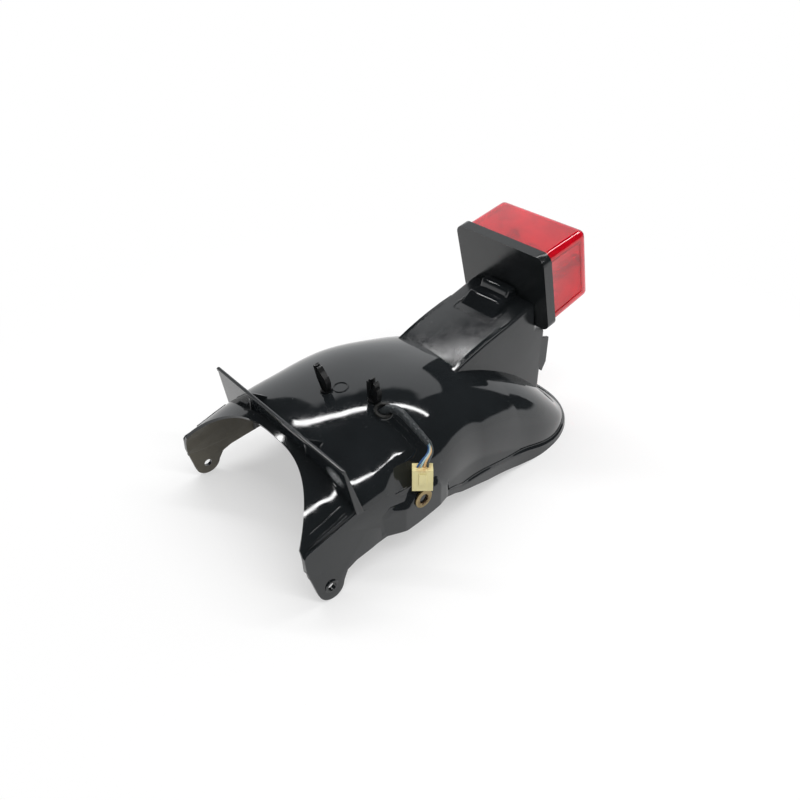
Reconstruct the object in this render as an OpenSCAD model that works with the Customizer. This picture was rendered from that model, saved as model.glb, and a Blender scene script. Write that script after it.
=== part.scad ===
// Rear inner fender of a small motorcycle, with its square tail lamp.
// X runs across the fender, Y from the front ears to the lamp, Z up.
// The fender stands on its two front ears and on the lip of its tail.

/* [Arch] */
// Radius of the crest about the wheel axle
crest_radius = 250; // [240:1:262]
// Distance from the ear bolts back to the wheel axle
axle_y = 120; // [114:1:126]
// Height of the crest above the ground
crest_top = 115; // [108:1:122]
// Wall of the moulding
wall = 2.6; // [2:0.1:3.2]
// Half width of the arch over its straight sides
arch_half_w = 98; // [94:0.5:101]
// Half width of the tail where it starts to close
tail_half_w = 88.5; // [85:0.5:92]
// Depth of the rounded shoulder of the arch
shoulder_depth = 66; // [60:1:70]
// Roundness of the shoulder, 2 is an ellipse and more is squarer
shoulder_power = 2.6; // [2.3:0.1:3.2]
// Rearmost point of the tail lip, from the ear bolts
tail_end = 345.5; // [340:0.5:352]

/* [Front rim] */
// Rim at the crest, from the ear bolts
rim_y = 18.5; // [14:0.5:22]
// How far the rim sweeps forward down its sides
rim_sweep = 37.5; // [33:0.5:42]

/* [Tail lip] */
// Height of the lip band at the side of the tail
lip_height = 15; // [10:0.5:18]
// Height of the lip band at the tail end
lip_end_height = 6; // [5:0.5:9]
// How far the lip band flares outwards
lip_flare = 3.5; // [2:0.1:5]
// How far the lip band reaches back at the tail end
lip_reach = 7.5; // [6:0.5:9]

/* [Ears and side panels] */
// Bolt bore of each front ear
ear_bore = 7.5; // [6.5:0.1:8.5]
// Height of the ear bolts above the ground
ear_bolt_z = 12.5; // [12:0.1:14]
// Radius of the ear round its bolt
ear_round = 12.1; // [11:0.1:12.4]
// Thickness of the ear and its panel
ear_t = 3.4; // [3:0.1:4]
// How far the ears stand out of the arch sides
ear_proud = 2; // [1:0.5:4]
// Lean of the ear panel, in at its top
ear_lean = 5.5; // [4:0.5:6.5]
// How far the bolt pads stand out of the arch sides
pad_proud = 4; // [3:0.1:5]

/* [Side collars] */
// Bolt bore through each metal collar
collar_bore = 8.4; // [6:0.1:9]
// Flange of the collar
collar_flange_d = 17; // [16:0.5:19]
// Thickness of the collar flange
collar_flange_t = 1.6; // [1:0.1:2.5]
// Outside of the collar barrel
collar_barrel_d = 11.6; // [11:0.1:13]
// Depth of the collar through the wall
collar_length = 9; // [7:0.5:12]
// Collar bolt, from the ear bolts
collar_y = 91.8; // [89:0.2:96]
// Collar bolt above the ground
collar_z = 51.6; // [48:0.2:53]

/* [Splash plate] */
// Height of the plate's top edge above the ground
plate_top_z = 110.7; // [106:0.5:116]
// How far the plate's top corners stand in from the arch sides
plate_inset = 5.5; // [3:0.5:10]
// Thickness of the plate
plate_t = 2.2; // [1.8:0.1:3]
// Top edge of the plate, from the ear bolts
plate_y = 22.4; // [21:0.2:25]
// Lean of the plate towards the front
plate_lean = 9.6; // [6:0.2:12]

/* [Lamp tower] */
// Half width of the tower
tower_half_w = 39.6; // [37:0.2:41]
// Front foot of the tower, from the ear bolts
tower_foot_y = 190; // [186:1:195]
// Slope of the tower's top
tower_slope = 18.5; // [17:0.5:20]
// Back wall of the tower, from the ear bolts
tower_back_y = 305; // [303.5:0.5:309]
// Rounding of the tower's top edges
tower_round = 5; // [3:0.5:7]

/* [Tail lamp] */
// Width of the lamp's black base
base_w = 109.6; // [106:0.2:114]
// Height of the lamp's black base
base_h = 81.2; // [79:0.2:84]
// Depth of the lamp's black base
base_d = 10.4; // [9:0.2:13]
// Corner radius of the lamp base
base_round = 9; // [6:0.5:12]
// Width of the red lens
lens_w = 102.6; // [98:0.2:104]
// Height of the red lens
lens_h = 75.6; // [72:0.2:76]
// How far the lens stands out of the base
lens_d = 51.8; // [46:0.2:56]
// Wall of the lens
lens_wall = 2.4; // [2:0.1:3]
// Lean of the lamp, up at its back
lamp_lean = 14; // [12:0.5:16]
// Top front edge of the lamp base, above the ground
lamp_top_z = 188.4; // [185:0.2:192]
// Top front edge of the lamp base, from the ear bolts
lamp_y = 271; // [269:0.2:273]

/* [Harness] */
// Diameter of the harness sleeve
sleeve_d = 6.8; // [6:0.1:7.4]
// Diameter of one wire
wire_d = 1.7; // [1.4:0.1:1.9]
// Outlet hole in the arch
outlet_d = 12; // [11:0.5:13]
// Width of the white connector
connector_w = 16.6; // [15:0.2:18]
// Height of the white connector
connector_h = 21; // [19:0.5:24]
// Depth of the white connector
connector_d = 9.6; // [8.6:0.2:11]
// Spacing of the wires in the connector
wire_pitch = 2.7; // [2.2:0.1:3.2]

/* [Hidden] */
$fn = 48;

function smooth(t) = let(c = max(0, min(1, t))) c * c * (3 - 2 * c);
function mix(a, b, t) = a + (b - a) * t;

// Places that follow from the driving sizes
axle_z = crest_top - crest_radius;
front_y = rim_y - rim_sweep;
ear_face_x = arch_half_w + ear_proud;
pad_face_x = arch_half_w + pad_proud;
plate_half_w = arch_half_w - plate_inset;
ear_lean_a = atan(ear_lean / 45);
ear_r = min(ear_round, (ear_bolt_z - ear_t * sin(ear_lean_a)) / cos(ear_lean_a));
lens_mid_z = -base_h / 2 + 0.15;
lens_y = base_d + lens_d;
lens_draft = 1.3;
lens_corner = 6.5;
lens_back_half = lens_h / 2 - lens_d * tan(lens_draft);
lens_low = lens_mid_z - lens_back_half;
back_y = lamp_y + (lens_y - lens_corner) * cos(lamp_lean)
    - (lens_low + lens_corner) * sin(lamp_lean) + lens_corner;
mid_y = (front_y - 0.5 + back_y) / 2;

module in_frame() {
    translate([0, -mid_y, 0]) children();
}

// A flat outline in Y and Z, given a thickness along X
module side_sheet(x0, t) {
    translate([x0, 0, 0]) rotate([90, 0, 90]) linear_extrude(t) children();
}

// A flat outline in X and Z, given a thickness along Y
module front_sheet(y0, t) {
    translate([0, y0 + t, 0]) rotate([90, 0, 0]) linear_extrude(t) children();
}

// A round bar along Y
module bar_y(d, y0, y1) {
    translate([0, y1, 0]) rotate([90, 0, 0]) cylinder(h = y1 - y0, d = d);
}

// A round bar along X
module bar_x(d, x0, x1) {
    translate([x0, 0, 0]) rotate([0, 90, 0]) cylinder(h = x1 - x0, d = d);
}

module both_sides() {
    children();
    mirror([1, 0, 0]) children();
}

// Rounded rectangle about its middle
module round_rect(w, h, r) {
    square([w - 2 * r, h], center = true);
    square([w, h - 2 * r], center = true);
    for (sx = [-1, 1], sy = [-1, 1]) translate([sx * (w / 2 - r), sy * (h / 2 - r)]) circle(r = r);
}

// Crest line of the arch, w inside its outer face
tip_y = tail_end - lip_reach;
straight_y = axle_y - 80;
flare_y = axle_y + 188;
function arc_z(y, w) = axle_z + sqrt(pow(crest_radius - w, 2) - pow(y - axle_y, 2));
function arc_slope(y, w) = -(y - axle_y) / sqrt(pow(crest_radius - w, 2) - pow(y - axle_y, 2));
function hermite(z0, m0, z1, m1, l, t) =
    z0 * (2 * t * t * t - 3 * t * t + 1) + m0 * l * (t * t * t - 2 * t * t + t)
    + z1 * (3 * t * t - 2 * t * t * t) + m1 * l * (t * t * t - t * t);
function crest_z(y, w) =
    y < straight_y ? arc_z(straight_y, w) - arc_slope(straight_y, w) * (straight_y - y)
        - 0.8 * smooth((straight_y - y) / 20) :
    y < flare_y ? arc_z(y, w) :
    hermite(arc_z(flare_y, w), arc_slope(flare_y, w), lip_end_height - w / 2, -0.35,
        tip_y - w - flare_y, (y - flare_y) / (tip_y - w - flare_y));

// Blend from the front rim (0) to the body (1)
function body_part(y) = smooth((y - 10) / 70);
function section_power(y) = mix(3, shoulder_power, body_part(y));
function section_bow(y) = mix(9, 4, body_part(y));
function section_drop(y) = mix(shoulder_depth - 31, shoulder_depth, body_part(y));
function drop_at(x, y, w) =
    let(n = section_power(y), u = min(1, abs(x) / (wall_half(y) - w)))
    section_bow(y) * u * u + section_drop(y) * (1 - pow(1 - pow(u, n), 1 / n));
function roof_z(x, y) = crest_z(y, 0) - drop_at(x, y, 0);

// Plan of the wall and of the lower edge
tail_length = 93;
crease_power = 2.6;
edge_power = 2.4;
tail_start = tip_y - tail_length;
crease_half = tail_half_w - lip_flare - 0.5;
function wall_half(y) = mix(arch_half_w - 3, arch_half_w, body_part(y))
    - (arch_half_w - crease_half - 2.7) * smooth((y - 112) / 66) - 2.7 * smooth((y - 178) / 66);
function edge_half(y) = mix(arch_half_w + 0.3, arch_half_w, body_part(y))
    - (arch_half_w - tail_half_w) * smooth((y - 112) / 115);
function crease_z(y) = lip_end_height + (lip_height - 4) * (1 - smooth((y - 225) / 70))
    + 16 * (1 - smooth((y - 125) / 135));
edge_line = [[-19, 31], [-5, 28], [16, 21], [26, 23], [42, 25.5], [57, 27.5], [70, 26], [79, 25.3],
    [88, 26.3], [103, 29], [113, 31], [121, 31.5], [127, 30], [134, 28.5], [142, 25], [160, 20],
    [180, 14], [205, 8.5], [225, 4], [245, 1], [258, 0], [400, 0]];
function edge_z(y) = lookup(y, edge_line);

// Hollow in the flank behind the plate, for the connector
pocket_depth = 5;
function dent(y, z) =
    let(d = norm([(y - 79) / 19, (z - 71) / 17])) pocket_depth * smooth((1 - d) / 0.45);

// The skin of the arch is a grid of stations and columns
ROOF = 12;
WALL = 2;
BAND = 2;
FRONT = 5;
TAIL = 11;
LOW = ROOF + WALL;
EDGE = LOW + BAND;
body_y = [56, 66, 76, 88, 100, 114, 127, 134, 142, 152, 164, 178, 194, 212, 229, tail_start];
LAST_BODY = FRONT + len(body_y) - 1;
LAST = LAST_BODY + TAIL;
function rim_at(u) = rim_y - rim_sweep * pow(min(1, u / 0.95), 2.9);

// Half widths, length and heights of one station: [y, half width, edge y, edge half width]
function tail_t(j) = 90 * (j - LAST_BODY) / TAIL;
function station(j, w) =
    j <= LAST_BODY ?
        let(y = j < FRONT ? mix(rim_y - 10, body_y[0], j / FRONT) : body_y[j - FRONT])
        [y, wall_half(y) - w, y, edge_half(y) - w] :
        let(t = tail_t(j), c = cos(t), s = sin(t))
        [tail_start + (tail_length - w) * pow(s, 2 / crease_power),
            (crease_half - w) * pow(c, 2 / crease_power),
            tail_start + (tail_end - tail_start - w) * pow(s, 2 / edge_power),
            (tail_half_w - w) * pow(c, 2 / edge_power)];

// A point of the skin at column a of station j, w inside the outer face
function skin(j, a, w) =
    let(st = station(j, w), y0 = st[0], k = smooth((y0 - 200) / (tail_start - 200)),
        cols = mix(ROOF, LOW, k), t = 90 * min(1, a / cols), n = section_power(y0),
        u = pow(sin(t), 2 / n), v = 1 - pow(cos(t), 2 / n),
        lead = j < FRONT ? rim_at(u) + (a > ROOF ? 1.5 : 0) : 0,
        y = j < FRONT ? mix(lead, body_y[0], j / FRONT) : y0,
        top = crest_z(y, w),
        low = max(crease_z(y) - w / 2, edge_z(y) + mix(4, 8, body_part(y)) * (1 - k)),
        full = min(section_bow(y) + section_drop(y), top - low - 2.5 * (1 - k)),
        bow = section_bow(y) * full / (section_bow(y) + section_drop(y)),
        shoulder = top - full,
        roof = top - bow * u * u - (full - bow) * v,
        f = cols < LOW ? max(0, (a - cols) / (LOW - cols)) : 0,
        z = a <= cols ? roof : mix(shoulder, low, min(1, f)))
    let(wx = st[1] + (1 - k) * 0.5 * max(0, st[3] - st[1]) * min(1, f))
    a <= LOW ? [wx * u - (u > 0.5 ? dent(y, z) : 0), y, z] :
    let(g = (a - LOW) / BAND, ye = j < FRONT ? y : st[2], foot = edge_z(ye), gx = g < 1 ? 0.72 : 1)
    [mix(wx, st[3], gx), mix(y, ye, gx), g < 1 ? low - min(2.6, 0.32 * (low - foot)) : foot];

function skin_row(j, w) = [for (i = [-EDGE : EDGE])
    let(p = skin(j, abs(i), w)) [i < 0 ? -p[0] : p[0], p[1], p[2]]];
function skin_end(w) = [for (a = [LOW : EDGE]) let(p = skin(LAST, a, w)) [0, p[1], p[2]]];
function skin_points(w) = concat([for (j = [0 : LAST - 1]) each skin_row(j, w)], skin_end(w));
function at(j, i) = j < LAST ? j * (2 * EDGE + 1) + i + EDGE
    : LAST * (2 * EDGE + 1) + max(0, abs(i) - LOW);
SIDE_COUNT = LAST * (2 * EDGE + 1) + BAND + 1;
function cell(j, i) = i < 0 ?
    [[at(j, i), at(j + 1, i), at(j + 1, i + 1)], [at(j, i), at(j + 1, i + 1), at(j, i + 1)]] :
    [[at(j, i), at(j + 1, i), at(j, i + 1)], [at(j + 1, i), at(j + 1, i + 1), at(j, i + 1)]];
function inner(f) = [for (k = [len(f) - 1 : -1 : 0]) f[k] + SIDE_COUNT];
function strip(a, b) = [[a, b, b + SIDE_COUNT], [a, b + SIDE_COUNT, a + SIDE_COUNT]];
function real_face(f) = f[0] != f[1] && f[1] != f[2] && f[2] != f[0];
outer_faces = [for (j = [0 : LAST - 1], i = [-EDGE : EDGE - 1]) each [for (f = cell(j, i))
    if (real_face(f)) f]];
rim_faces = [for (i = [-EDGE : EDGE - 1]) each strip(at(0, i), at(0, i + 1))];
edge_faces = [for (j = [0 : LAST - 1]) each concat(strip(at(j, EDGE), at(j + 1, EDGE)),
    strip(at(j + 1, -EDGE), at(j, -EDGE)))];

module arch_skin() {
    polyhedron(points = concat(skin_points(0), skin_points(wall)),
        faces = concat(outer_faces, [for (f = outer_faces) inner(f)], rim_faces, edge_faces),
        convexity = 8);
}

ear_outline = [[front_y - 0.5, 51], [front_y - 0.5, 38.7], [-12.4, 11], [12.4, 11.5], [16.7, 19.1],
    [26, 23], [42, 25.5], [52, 28], [52, 58], [44, 64], [31, 66.6], [front_y + 2, 53.4]];

// Ear with its flat panel, leaning in towards its top
module ear_panel() {
    difference() {
        union() {
            translate([ear_face_x, 0, ear_bolt_z]) rotate([0, -ear_lean_a, 0])
                side_sheet(-ear_t, ear_t) translate([0, -ear_bolt_z]) {
                    translate([0, ear_bolt_z]) circle(r = ear_r);
                    difference() {
                        polygon(ear_outline);
                        translate([front_y - 40, ear_bolt_z - ear_r - 40]) square([60, 40]);
                    }
                }
            translate([0, 0, ear_bolt_z]) bar_x(ear_bore + 4.6, ear_face_x - ear_t - 1, ear_face_x + 0.7);
        }
        translate([0, 0, ear_bolt_z]) bar_x(ear_bore, ear_face_x - 12, ear_face_x + 6);
    }
}

pad_outline = [[52, 30], [58, 27.6], [69, 26], [77, 25.2], [87.5, 26.4], [103, 29.5], [113, 32],
    [122, 33.5], [128, 36], [126, 50], [110, 61.5], [84, 62], [76, 54], [62, 56], [52, 50]];

// Raised pad behind the panel, boxed out for the collar
module side_pad() {
    intersection() {
        side_sheet(90, 20) polygon(pad_outline);
        linear_extrude(90) polygon([[arch_half_w - 2.2, 44], [arch_half_w + 0.1, 57], [pad_face_x, 74.5],
            [pad_face_x, 112], [arch_half_w + 0.3, 127], [arch_half_w - 2.2, 131]]);
    }
    translate([0, collar_y, collar_z]) bar_x(collar_barrel_d + 5, pad_face_x - collar_length, pad_face_x - 1);
}

plate_bottom = 66;
plate_spread = 4;
plate_len = (plate_top_z - plate_bottom) / cos(plate_lean);
return_lean = atan(plate_spread / (plate_top_z - plate_bottom));
front_slope = 18.7;
skin_trim = wall - 0.4;

// Profile of the arch under the plate, to trim what would hang inside
function trim_x(k) = pow(sin(90 * k / 10), 0.6) * (arch_half_w - skin_trim);
function trim_z(k) = -drop_at(trim_x(k) * arch_half_w / (arch_half_w - skin_trim), 26, 0)
    * cos(front_slope);
module arch_core(y0, y1) {
    translate([0, 26, crest_z(26, 0) - 1.4]) rotate([front_slope, 0, 0])
        front_sheet(y0, y1 - y0) polygon(concat(
            [for (k = [-10 : 10]) [sign(k) * trim_x(abs(k)), trim_z(abs(k))]],
            [[arch_half_w - skin_trim, -95], [skin_trim - arch_half_w, -95]]));
}

// Upright plate across the front, with its returns and two gussets
module splash_plate() {
    difference() {
        union() {
            translate([0, plate_y, plate_top_z]) rotate([plate_lean, 0, 0])
                front_sheet(0, plate_t) polygon([[-plate_half_w, 0], [plate_half_w, 0],
                    [plate_half_w + plate_spread, -plate_len],
                    [-plate_half_w - plate_spread, -plate_len]]);
            both_sides() translate([plate_half_w - 0.25, 0, plate_top_z])
                rotate([0, -return_lean, 0]) side_sheet(-2.2, 2.2)
                polygon([[plate_y + 1.2, -0.8], [plate_y + 2.6, -0.8],
                    [plate_y + 14.3, -44.4], [plate_y + 9, -44.4]]);
            both_sides() side_sheet(40, 2) polygon([[plate_y + 1, plate_top_z - 7],
                [plate_y + 3.2, plate_top_z - 7], [plate_y + 19.5, 98],
                [plate_y + 19.5, 94], [plate_y + 1, 90]]);
        }
        arch_core(-30, 40);
    }
}

// Slope, top and back of the lamp tower
function lamp_face_y(z) = lamp_y + (lamp_top_z - z) * tan(lamp_lean);
tower_foot_z = crest_z(tower_foot_y, 0);
function tower_z(y) = tower_foot_z + (y - tower_foot_y) * tan(tower_slope);

module tower_block(w) {
    intersection() {
        side_sheet(-60, 120) polygon([[tower_foot_y - 12, 20], [tower_foot_y - 12, 140],
            [lamp_face_y(140) - w * 1.04, 140], [lamp_face_y(107.4 - w) - w * 1.04, 107.4 - w],
            [tower_back_y - w, 102.5 - w], [tower_back_y - w, 20]]);
        translate([0, tower_foot_y, tower_foot_z - w]) rotate([tower_slope, 0, 0]) front_sheet(-40, 200)
            polygon(concat(
                [for (a = [0 : 15 : 90]) [tower_half_w - w - tower_round * (1 - sin(90 - a)),
                    -tower_round * (1 - sin(a))]],
                [for (a = [90 : -15 : 0]) [-tower_half_w + w + tower_round * (1 - sin(90 - a)),
                    -tower_round * (1 - sin(a))]],
                [[w - tower_half_w, -150], [tower_half_w - w, -150]]));
    }
}

step_half = 18;
step_foot_y = 245.5;
step_top_y = 257;
step_top = 138.2;
crown_half = 17.4;
crown_top_y = 272;
crown_top = 145.6;

// Stepped box that carries the top of the lamp base
module step_block(w) {
    side_sheet(-step_half + w, 2 * (step_half - w)) polygon([[step_foot_y + w, 100],
        [step_foot_y + w, 117.6], [step_top_y + w, step_top - w],
        [lamp_face_y(step_top - w) - w, step_top - w], [lamp_face_y(107) - w, 107]]);
    side_sheet(-crown_half + w, 2 * (crown_half - w)) polygon([[crown_top_y - 5 + w, 110],
        [crown_top_y - 3 + w, step_top - 1], [crown_top_y + w, crown_top - w],
        [lamp_face_y(crown_top - w) - w, crown_top - w], [lamp_face_y(113) - w, 113]]);
}

module in_lamp() {
    translate([0, lamp_y, lamp_top_z]) rotate([lamp_lean, 0, 0]) children();
}

stud_x = 26;
stud_z = -70;
top_stud_z = -53.5;
cable_z = -67.5;
module at_studs() {
    for (p = [[-stud_x, stud_z], [stud_x, stud_z], [0, top_stud_z]]) translate([p[0], 0, p[1]]) children();
}

module outlet_place() {
    translate([50.5, 94, roof_z(50.5, 94)]) rotate([6, 16.8, 0]) children();
}

module crest_clip_place() {
    translate([0, 74, roof_z(0, 74)]) rotate([10.6, 0, 0]) children();
}

module side_clip_place() {
    translate([37, 95, roof_z(37, 95)]) rotate([5.7, 11.1, 0]) children();
}

module fender_shell() {
    color([0.06, 0.06, 0.07]) difference() {
        union() {
            arch_skin();
            both_sides() ear_panel();
            both_sides() side_pad();
            splash_plate();
            difference() {
                union() {
                    tower_block(0);
                    step_block(0);
                    both_sides() side_sheet(tower_half_w - 3, 3) polygon([[tower_back_y - 5, 60],
                        [tower_back_y + 2, 52], [tower_back_y + 7, 62], [tower_back_y + 7, 90],
                        [tower_back_y - 5, 94]]);
                    both_sides() side_sheet(step_half - 1, 11) polygon([[252, 110],
                        [254, 124.5], [lamp_face_y(135), 135], [lamp_face_y(110), 110]]);
                }
                translate([0, axle_y, axle_z]) bar_x(2 * (crest_radius - wall - 2), -60, 60,
                    $fn = 120);
            }
            outlet_place() translate([0, 0, -2]) cylinder(h = 3.4, d = outlet_d + 5);
            crest_clip_place() translate([0, 0, -1.5]) cylinder(h = 2.2, d = 11);
            side_clip_place() translate([0, 0, -1.5]) cylinder(h = 2.4, d = 11);
        }
        tower_block(wall);
        step_block(wall);
        outlet_place() translate([0, 0, -12]) cylinder(h = 24, d = outlet_d);
        crest_clip_place() translate([0, 0, -12]) cylinder(h = 24, d = 6);
        side_clip_place() translate([0, 0, -12]) cylinder(h = 24, d = 6);
        both_sides() translate([0, collar_y, collar_z]) bar_x(collar_barrel_d, 80, 110);
        in_lamp() {
            at_studs() bar_y(6.6, -8, 2);
            translate([0, 0, cable_z]) bar_y(11, -8, 2);
        }
    }
}

// Metal collar of one side bolt, from outside in
module side_collar() {
    color([0.72, 0.66, 0.45]) translate([0, collar_y, collar_z]) difference() {
        union() {
            bar_x(collar_flange_d, pad_face_x, pad_face_x + collar_flange_t);
            bar_x(collar_barrel_d, pad_face_x - collar_length, pad_face_x + 0.4);
        }
        bar_x(collar_bore, 80, 120);
    }
}

module side_collar_right() {
    side_collar();
}

module side_collar_left() {
    mirror([1, 0, 0]) side_collar();
}

// Push-in clip with an upright forked blade; its outline is in X and Z
crest_blade = [[-3, 0], [3.4, 0], [6.2, 6], [7.4, 12], [6.4, 17], [2.6, 21.6], [0.4, 25.2],
    [-1.2, 25.6], [-1.6, 19], [-2.8, 19], [-3.4, 25.4], [-4.8, 26.6], [-6.2, 24.6], [-5.6, 12]];
side_blade = [[-5, 0], [5, 0], [6.6, 5], [7.4, 12], [6.8, 17.4], [4.2, 17], [3.6, 21], [1.4, 22],
    [0.6, 14], [-1, 14], [-1.8, 23.4], [-4.2, 22.6], [-5, 18.4], [-7.2, 18], [-6.6, 8]];
blade_t = 4.8;
module fork_clip(outline) {
    difference() {
        translate([0, -blade_t / 2, 0.9]) front_sheet(0, blade_t) polygon(outline);
        for (s = [-1, 1]) translate([-3.2, s * (blade_t / 2 + 0.4) - 1, 5.4]) cube([6, 2, 7]);
    }
    translate([0, 0, 0.7]) cylinder(h = 2.2, d = 10);
    translate([0, 0, -6.3]) cylinder(h = 8, d = 6);
    translate([0, 0, -6.3]) cylinder(h = 2.6, r1 = 2.4, r2 = 4);
}

module crest_clip() {
    color([0.05, 0.05, 0.05]) crest_clip_place() fork_clip(crest_blade);
}

module side_clip() {
    color([0.05, 0.05, 0.05]) side_clip_place() translate([0, 0, 0.2]) fork_clip(side_blade);
}

// Rubber ring that lines the outlet hole
module outlet_grommet() {
    color([0.1, 0.1, 0.09]) outlet_place() difference() {
        union() {
            translate([0, 0, 1.4]) cylinder(h = 1.8, d = outlet_d + 4);
            translate([0, 0, -3]) cylinder(h = 5, d = outlet_d);
        }
        translate([0, 0, -10]) cylinder(h = 20, d = outlet_d - 1.6);
    }
}

module slab_y(w, h, r, y0, y1) {
    translate([0, 0, -base_h / 2]) front_sheet(y0, y1 - y0) round_rect(w, h, r);
}

screw_x = 38;
tray_w = lens_w + 0.8;
tray_h = lens_h + 0.8;
tray_y = base_d - 4.2;
pocket_w = tray_w - 7;
pocket_h = tray_h - 7;
module at_screws() {
    for (s = [-1, 1]) translate([s * screw_x, 0, lens_mid_z]) children();
}

// Black base with the tray that takes the lens
module lamp_base() {
    color([0.05, 0.05, 0.055]) in_lamp() {
        difference() {
            slab_y(base_w, base_h, base_round, 0, base_d);
            slab_y(tray_w, tray_h, 6, tray_y, base_d + 1);
            slab_y(pocket_w, pocket_h, 4, tray_y - 1, tray_y + 2);
            slab_y(pocket_w - 4, pocket_h - 4, 4, 3, tray_y + 2);
            at_studs() bar_y(6.2, -1, 4);
            at_studs() bar_y(11.2, 1.2, 4);
            translate([0, 0, cable_z]) bar_y(11, -1, 4);
        }
        difference() {
            at_screws() bar_y(9.5, 2, tray_y + 2);
            at_screws() bar_y(4, 3.4, tray_y + 3);
        }
    }
}

// Headed studs of the lamp base
module lamp_studs() {
    color([0.72, 0.74, 0.76]) in_lamp() at_studs() {
        bar_y(11, 1.2, 3);
        bar_y(6, -15, 2);
    }
}

module lamp_stud_washers() {
    color([0.75, 0.76, 0.78]) in_lamp() at_studs() difference() {
        bar_y(12, -4.2, -2.8);
        bar_y(6.4, -6, 0);
    }
}

module lamp_stud_nuts() {
    color([0.7, 0.7, 0.72]) in_lamp() at_studs() difference() {
        translate([0, -4.2, 0]) rotate([90, 0, 0]) cylinder(h = 5, d = 11.5, $fn = 6);
        bar_y(6, -12, 0);
    }
}

module lens_gasket() {
    color([0.04, 0.04, 0.04]) in_lamp() difference() {
        slab_y(tray_w - 0.4, tray_h - 0.4, 5.8, tray_y, tray_y + 2);
        slab_y(pocket_w, pocket_h, 3.4, tray_y - 1, tray_y + 3);
    }
}

// Outside of the lens, w smaller all round; drafted towards its back
module lens_body(w, y0) {
    t = tan(lens_draft);
    r = lens_corner;
    intersection() {
        translate([0, 0, lens_mid_z]) front_sheet(y0, lens_y - w - y0)
            round_rect(lens_w - 2 * w, lens_h - 2 * w, r - w / 2);
        translate([0, 0, lens_mid_z - lens_h]) linear_extrude(2 * lens_h)
            lens_plan(lens_w / 2 - w, y0, w, t, r);
        translate([-lens_w, 0, lens_mid_z]) rotate([0, 90, 0]) linear_extrude(2 * lens_w)
            lens_plan(lens_h / 2 - w, y0, w, t, r);
    }
}

module lens_plan(half, y0, w, t, r) {
    y1 = lens_y - w;
    e = half - (y1 - base_d) * t;
    c = r - w / 2;
    polygon(concat([[-half, y0], [half, y0], [half, base_d]],
        [for (a = [0 : 15 : 90]) [e - c + c * cos(a), y1 - c + c * sin(a)]],
        [for (a = [90 : 15 : 180]) [-e + c + c * cos(a), y1 - c + c * sin(a)]],
        [[-half, base_d]]));
}

module window_box() {
    translate([-28, 26, lens_mid_z - lens_h / 2 - 5]) cube([56, 20, 12]);
}

module lens_shell() {
    difference() {
        lens_body(0, tray_y + 2);
        lens_body(lens_wall, tray_y + 1);
    }
}

// Red lens with its screw posts
module tail_lens() {
    color([0.72, 0.06, 0.12]) in_lamp() difference() {
        union() {
            lens_shell();
            at_screws() bar_y(12, tray_y + 3.4, lens_y - 1);
        }
        window_box();
        at_screws() bar_y(9.4, lens_y - 3.6, lens_y + 1);
        at_screws() bar_y(4.6, 0, lens_y);
    }
}

// Clear window that lights the number plate
module plate_window() {
    color([0.9, 0.92, 0.92]) in_lamp() intersection() {
        lens_shell();
        window_box();
    }
}

module lens_screws() {
    color([0.78, 0.78, 0.8]) in_lamp() at_screws() difference() {
        union() {
            bar_y(8.6, lens_y - 2.4, lens_y - 0.4);
            bar_y(4, 3.6, lens_y - 2);
        }
        translate([-0.6, lens_y - 1.4, -3]) cube([1.2, 2, 6]);
        translate([-3, lens_y - 1.4, -0.6]) cube([6, 2, 1.2]);
    }
}

module lens_screw_seals() {
    color([0.05, 0.05, 0.05]) in_lamp() at_screws() difference() {
        bar_y(9, lens_y - 3.6, lens_y - 2.4);
        bar_y(4, lens_y - 5, lens_y);
    }
}

// Bright plate behind the bulb
module reflector() {
    color([0.85, 0.86, 0.88]) in_lamp() difference() {
        slab_y(pocket_w - 0.4, pocket_h - 0.4, 3.8, tray_y - 1, tray_y);
        translate([0, 0, lens_mid_z]) bar_y(20.4, 0, 10);
        at_screws() bar_y(10, 0, 10);
        translate([0, 0, cable_z]) bar_y(8, 0, 10);
    }
}

module bulb_socket() {
    color([0.75, 0.74, 0.7]) in_lamp() translate([0, 0, lens_mid_z]) difference() {
        union() {
            bar_y(20, 3, 20);
            bar_y(24, 3, 4.4);
        }
        bar_y(15.4, 4, 21);
        translate([-1.2, 9, -12]) cube([2.4, 12, 24]);
    }
}

module contact_spring() {
    color([0.6, 0.6, 0.62]) in_lamp() translate([0, 0, lens_mid_z]) difference() {
        bar_y(8, 4, 7);
        bar_y(6, 3, 8);
    }
}

module contact_disc() {
    color([0.78, 0.6, 0.35]) in_lamp() translate([0, 0, lens_mid_z]) bar_y(13.6, 7, 8.2);
}

// Bulb with its bayonet cap, one solid
module tail_bulb() {
    color([0.9, 0.88, 0.85]) in_lamp() translate([0, 0, lens_mid_z]) {
        bar_y(15, 9.4, 24);
        bar_y(4, 8.2, 10);
        bar_y(19, 23, 27);
        translate([0, 38.5, 0]) rotate([90, 0, 0]) rotate_extrude() intersection() {
            circle(r = 12.5);
            translate([0, -13]) square([13, 26]);
        }
        translate([-8.8, 12.6, -0.9]) cube([17.6, 1.8, 1.8]);
    }
}

module lamp_grommet() {
    color([0.08, 0.08, 0.08]) in_lamp() translate([0, 0, cable_z]) difference() {
        union() {
            bar_y(11, -3.4, 3);
            bar_y(14, -4.6, -2.8);
        }
        bar_y(5, -8, 8);
    }
}

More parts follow.
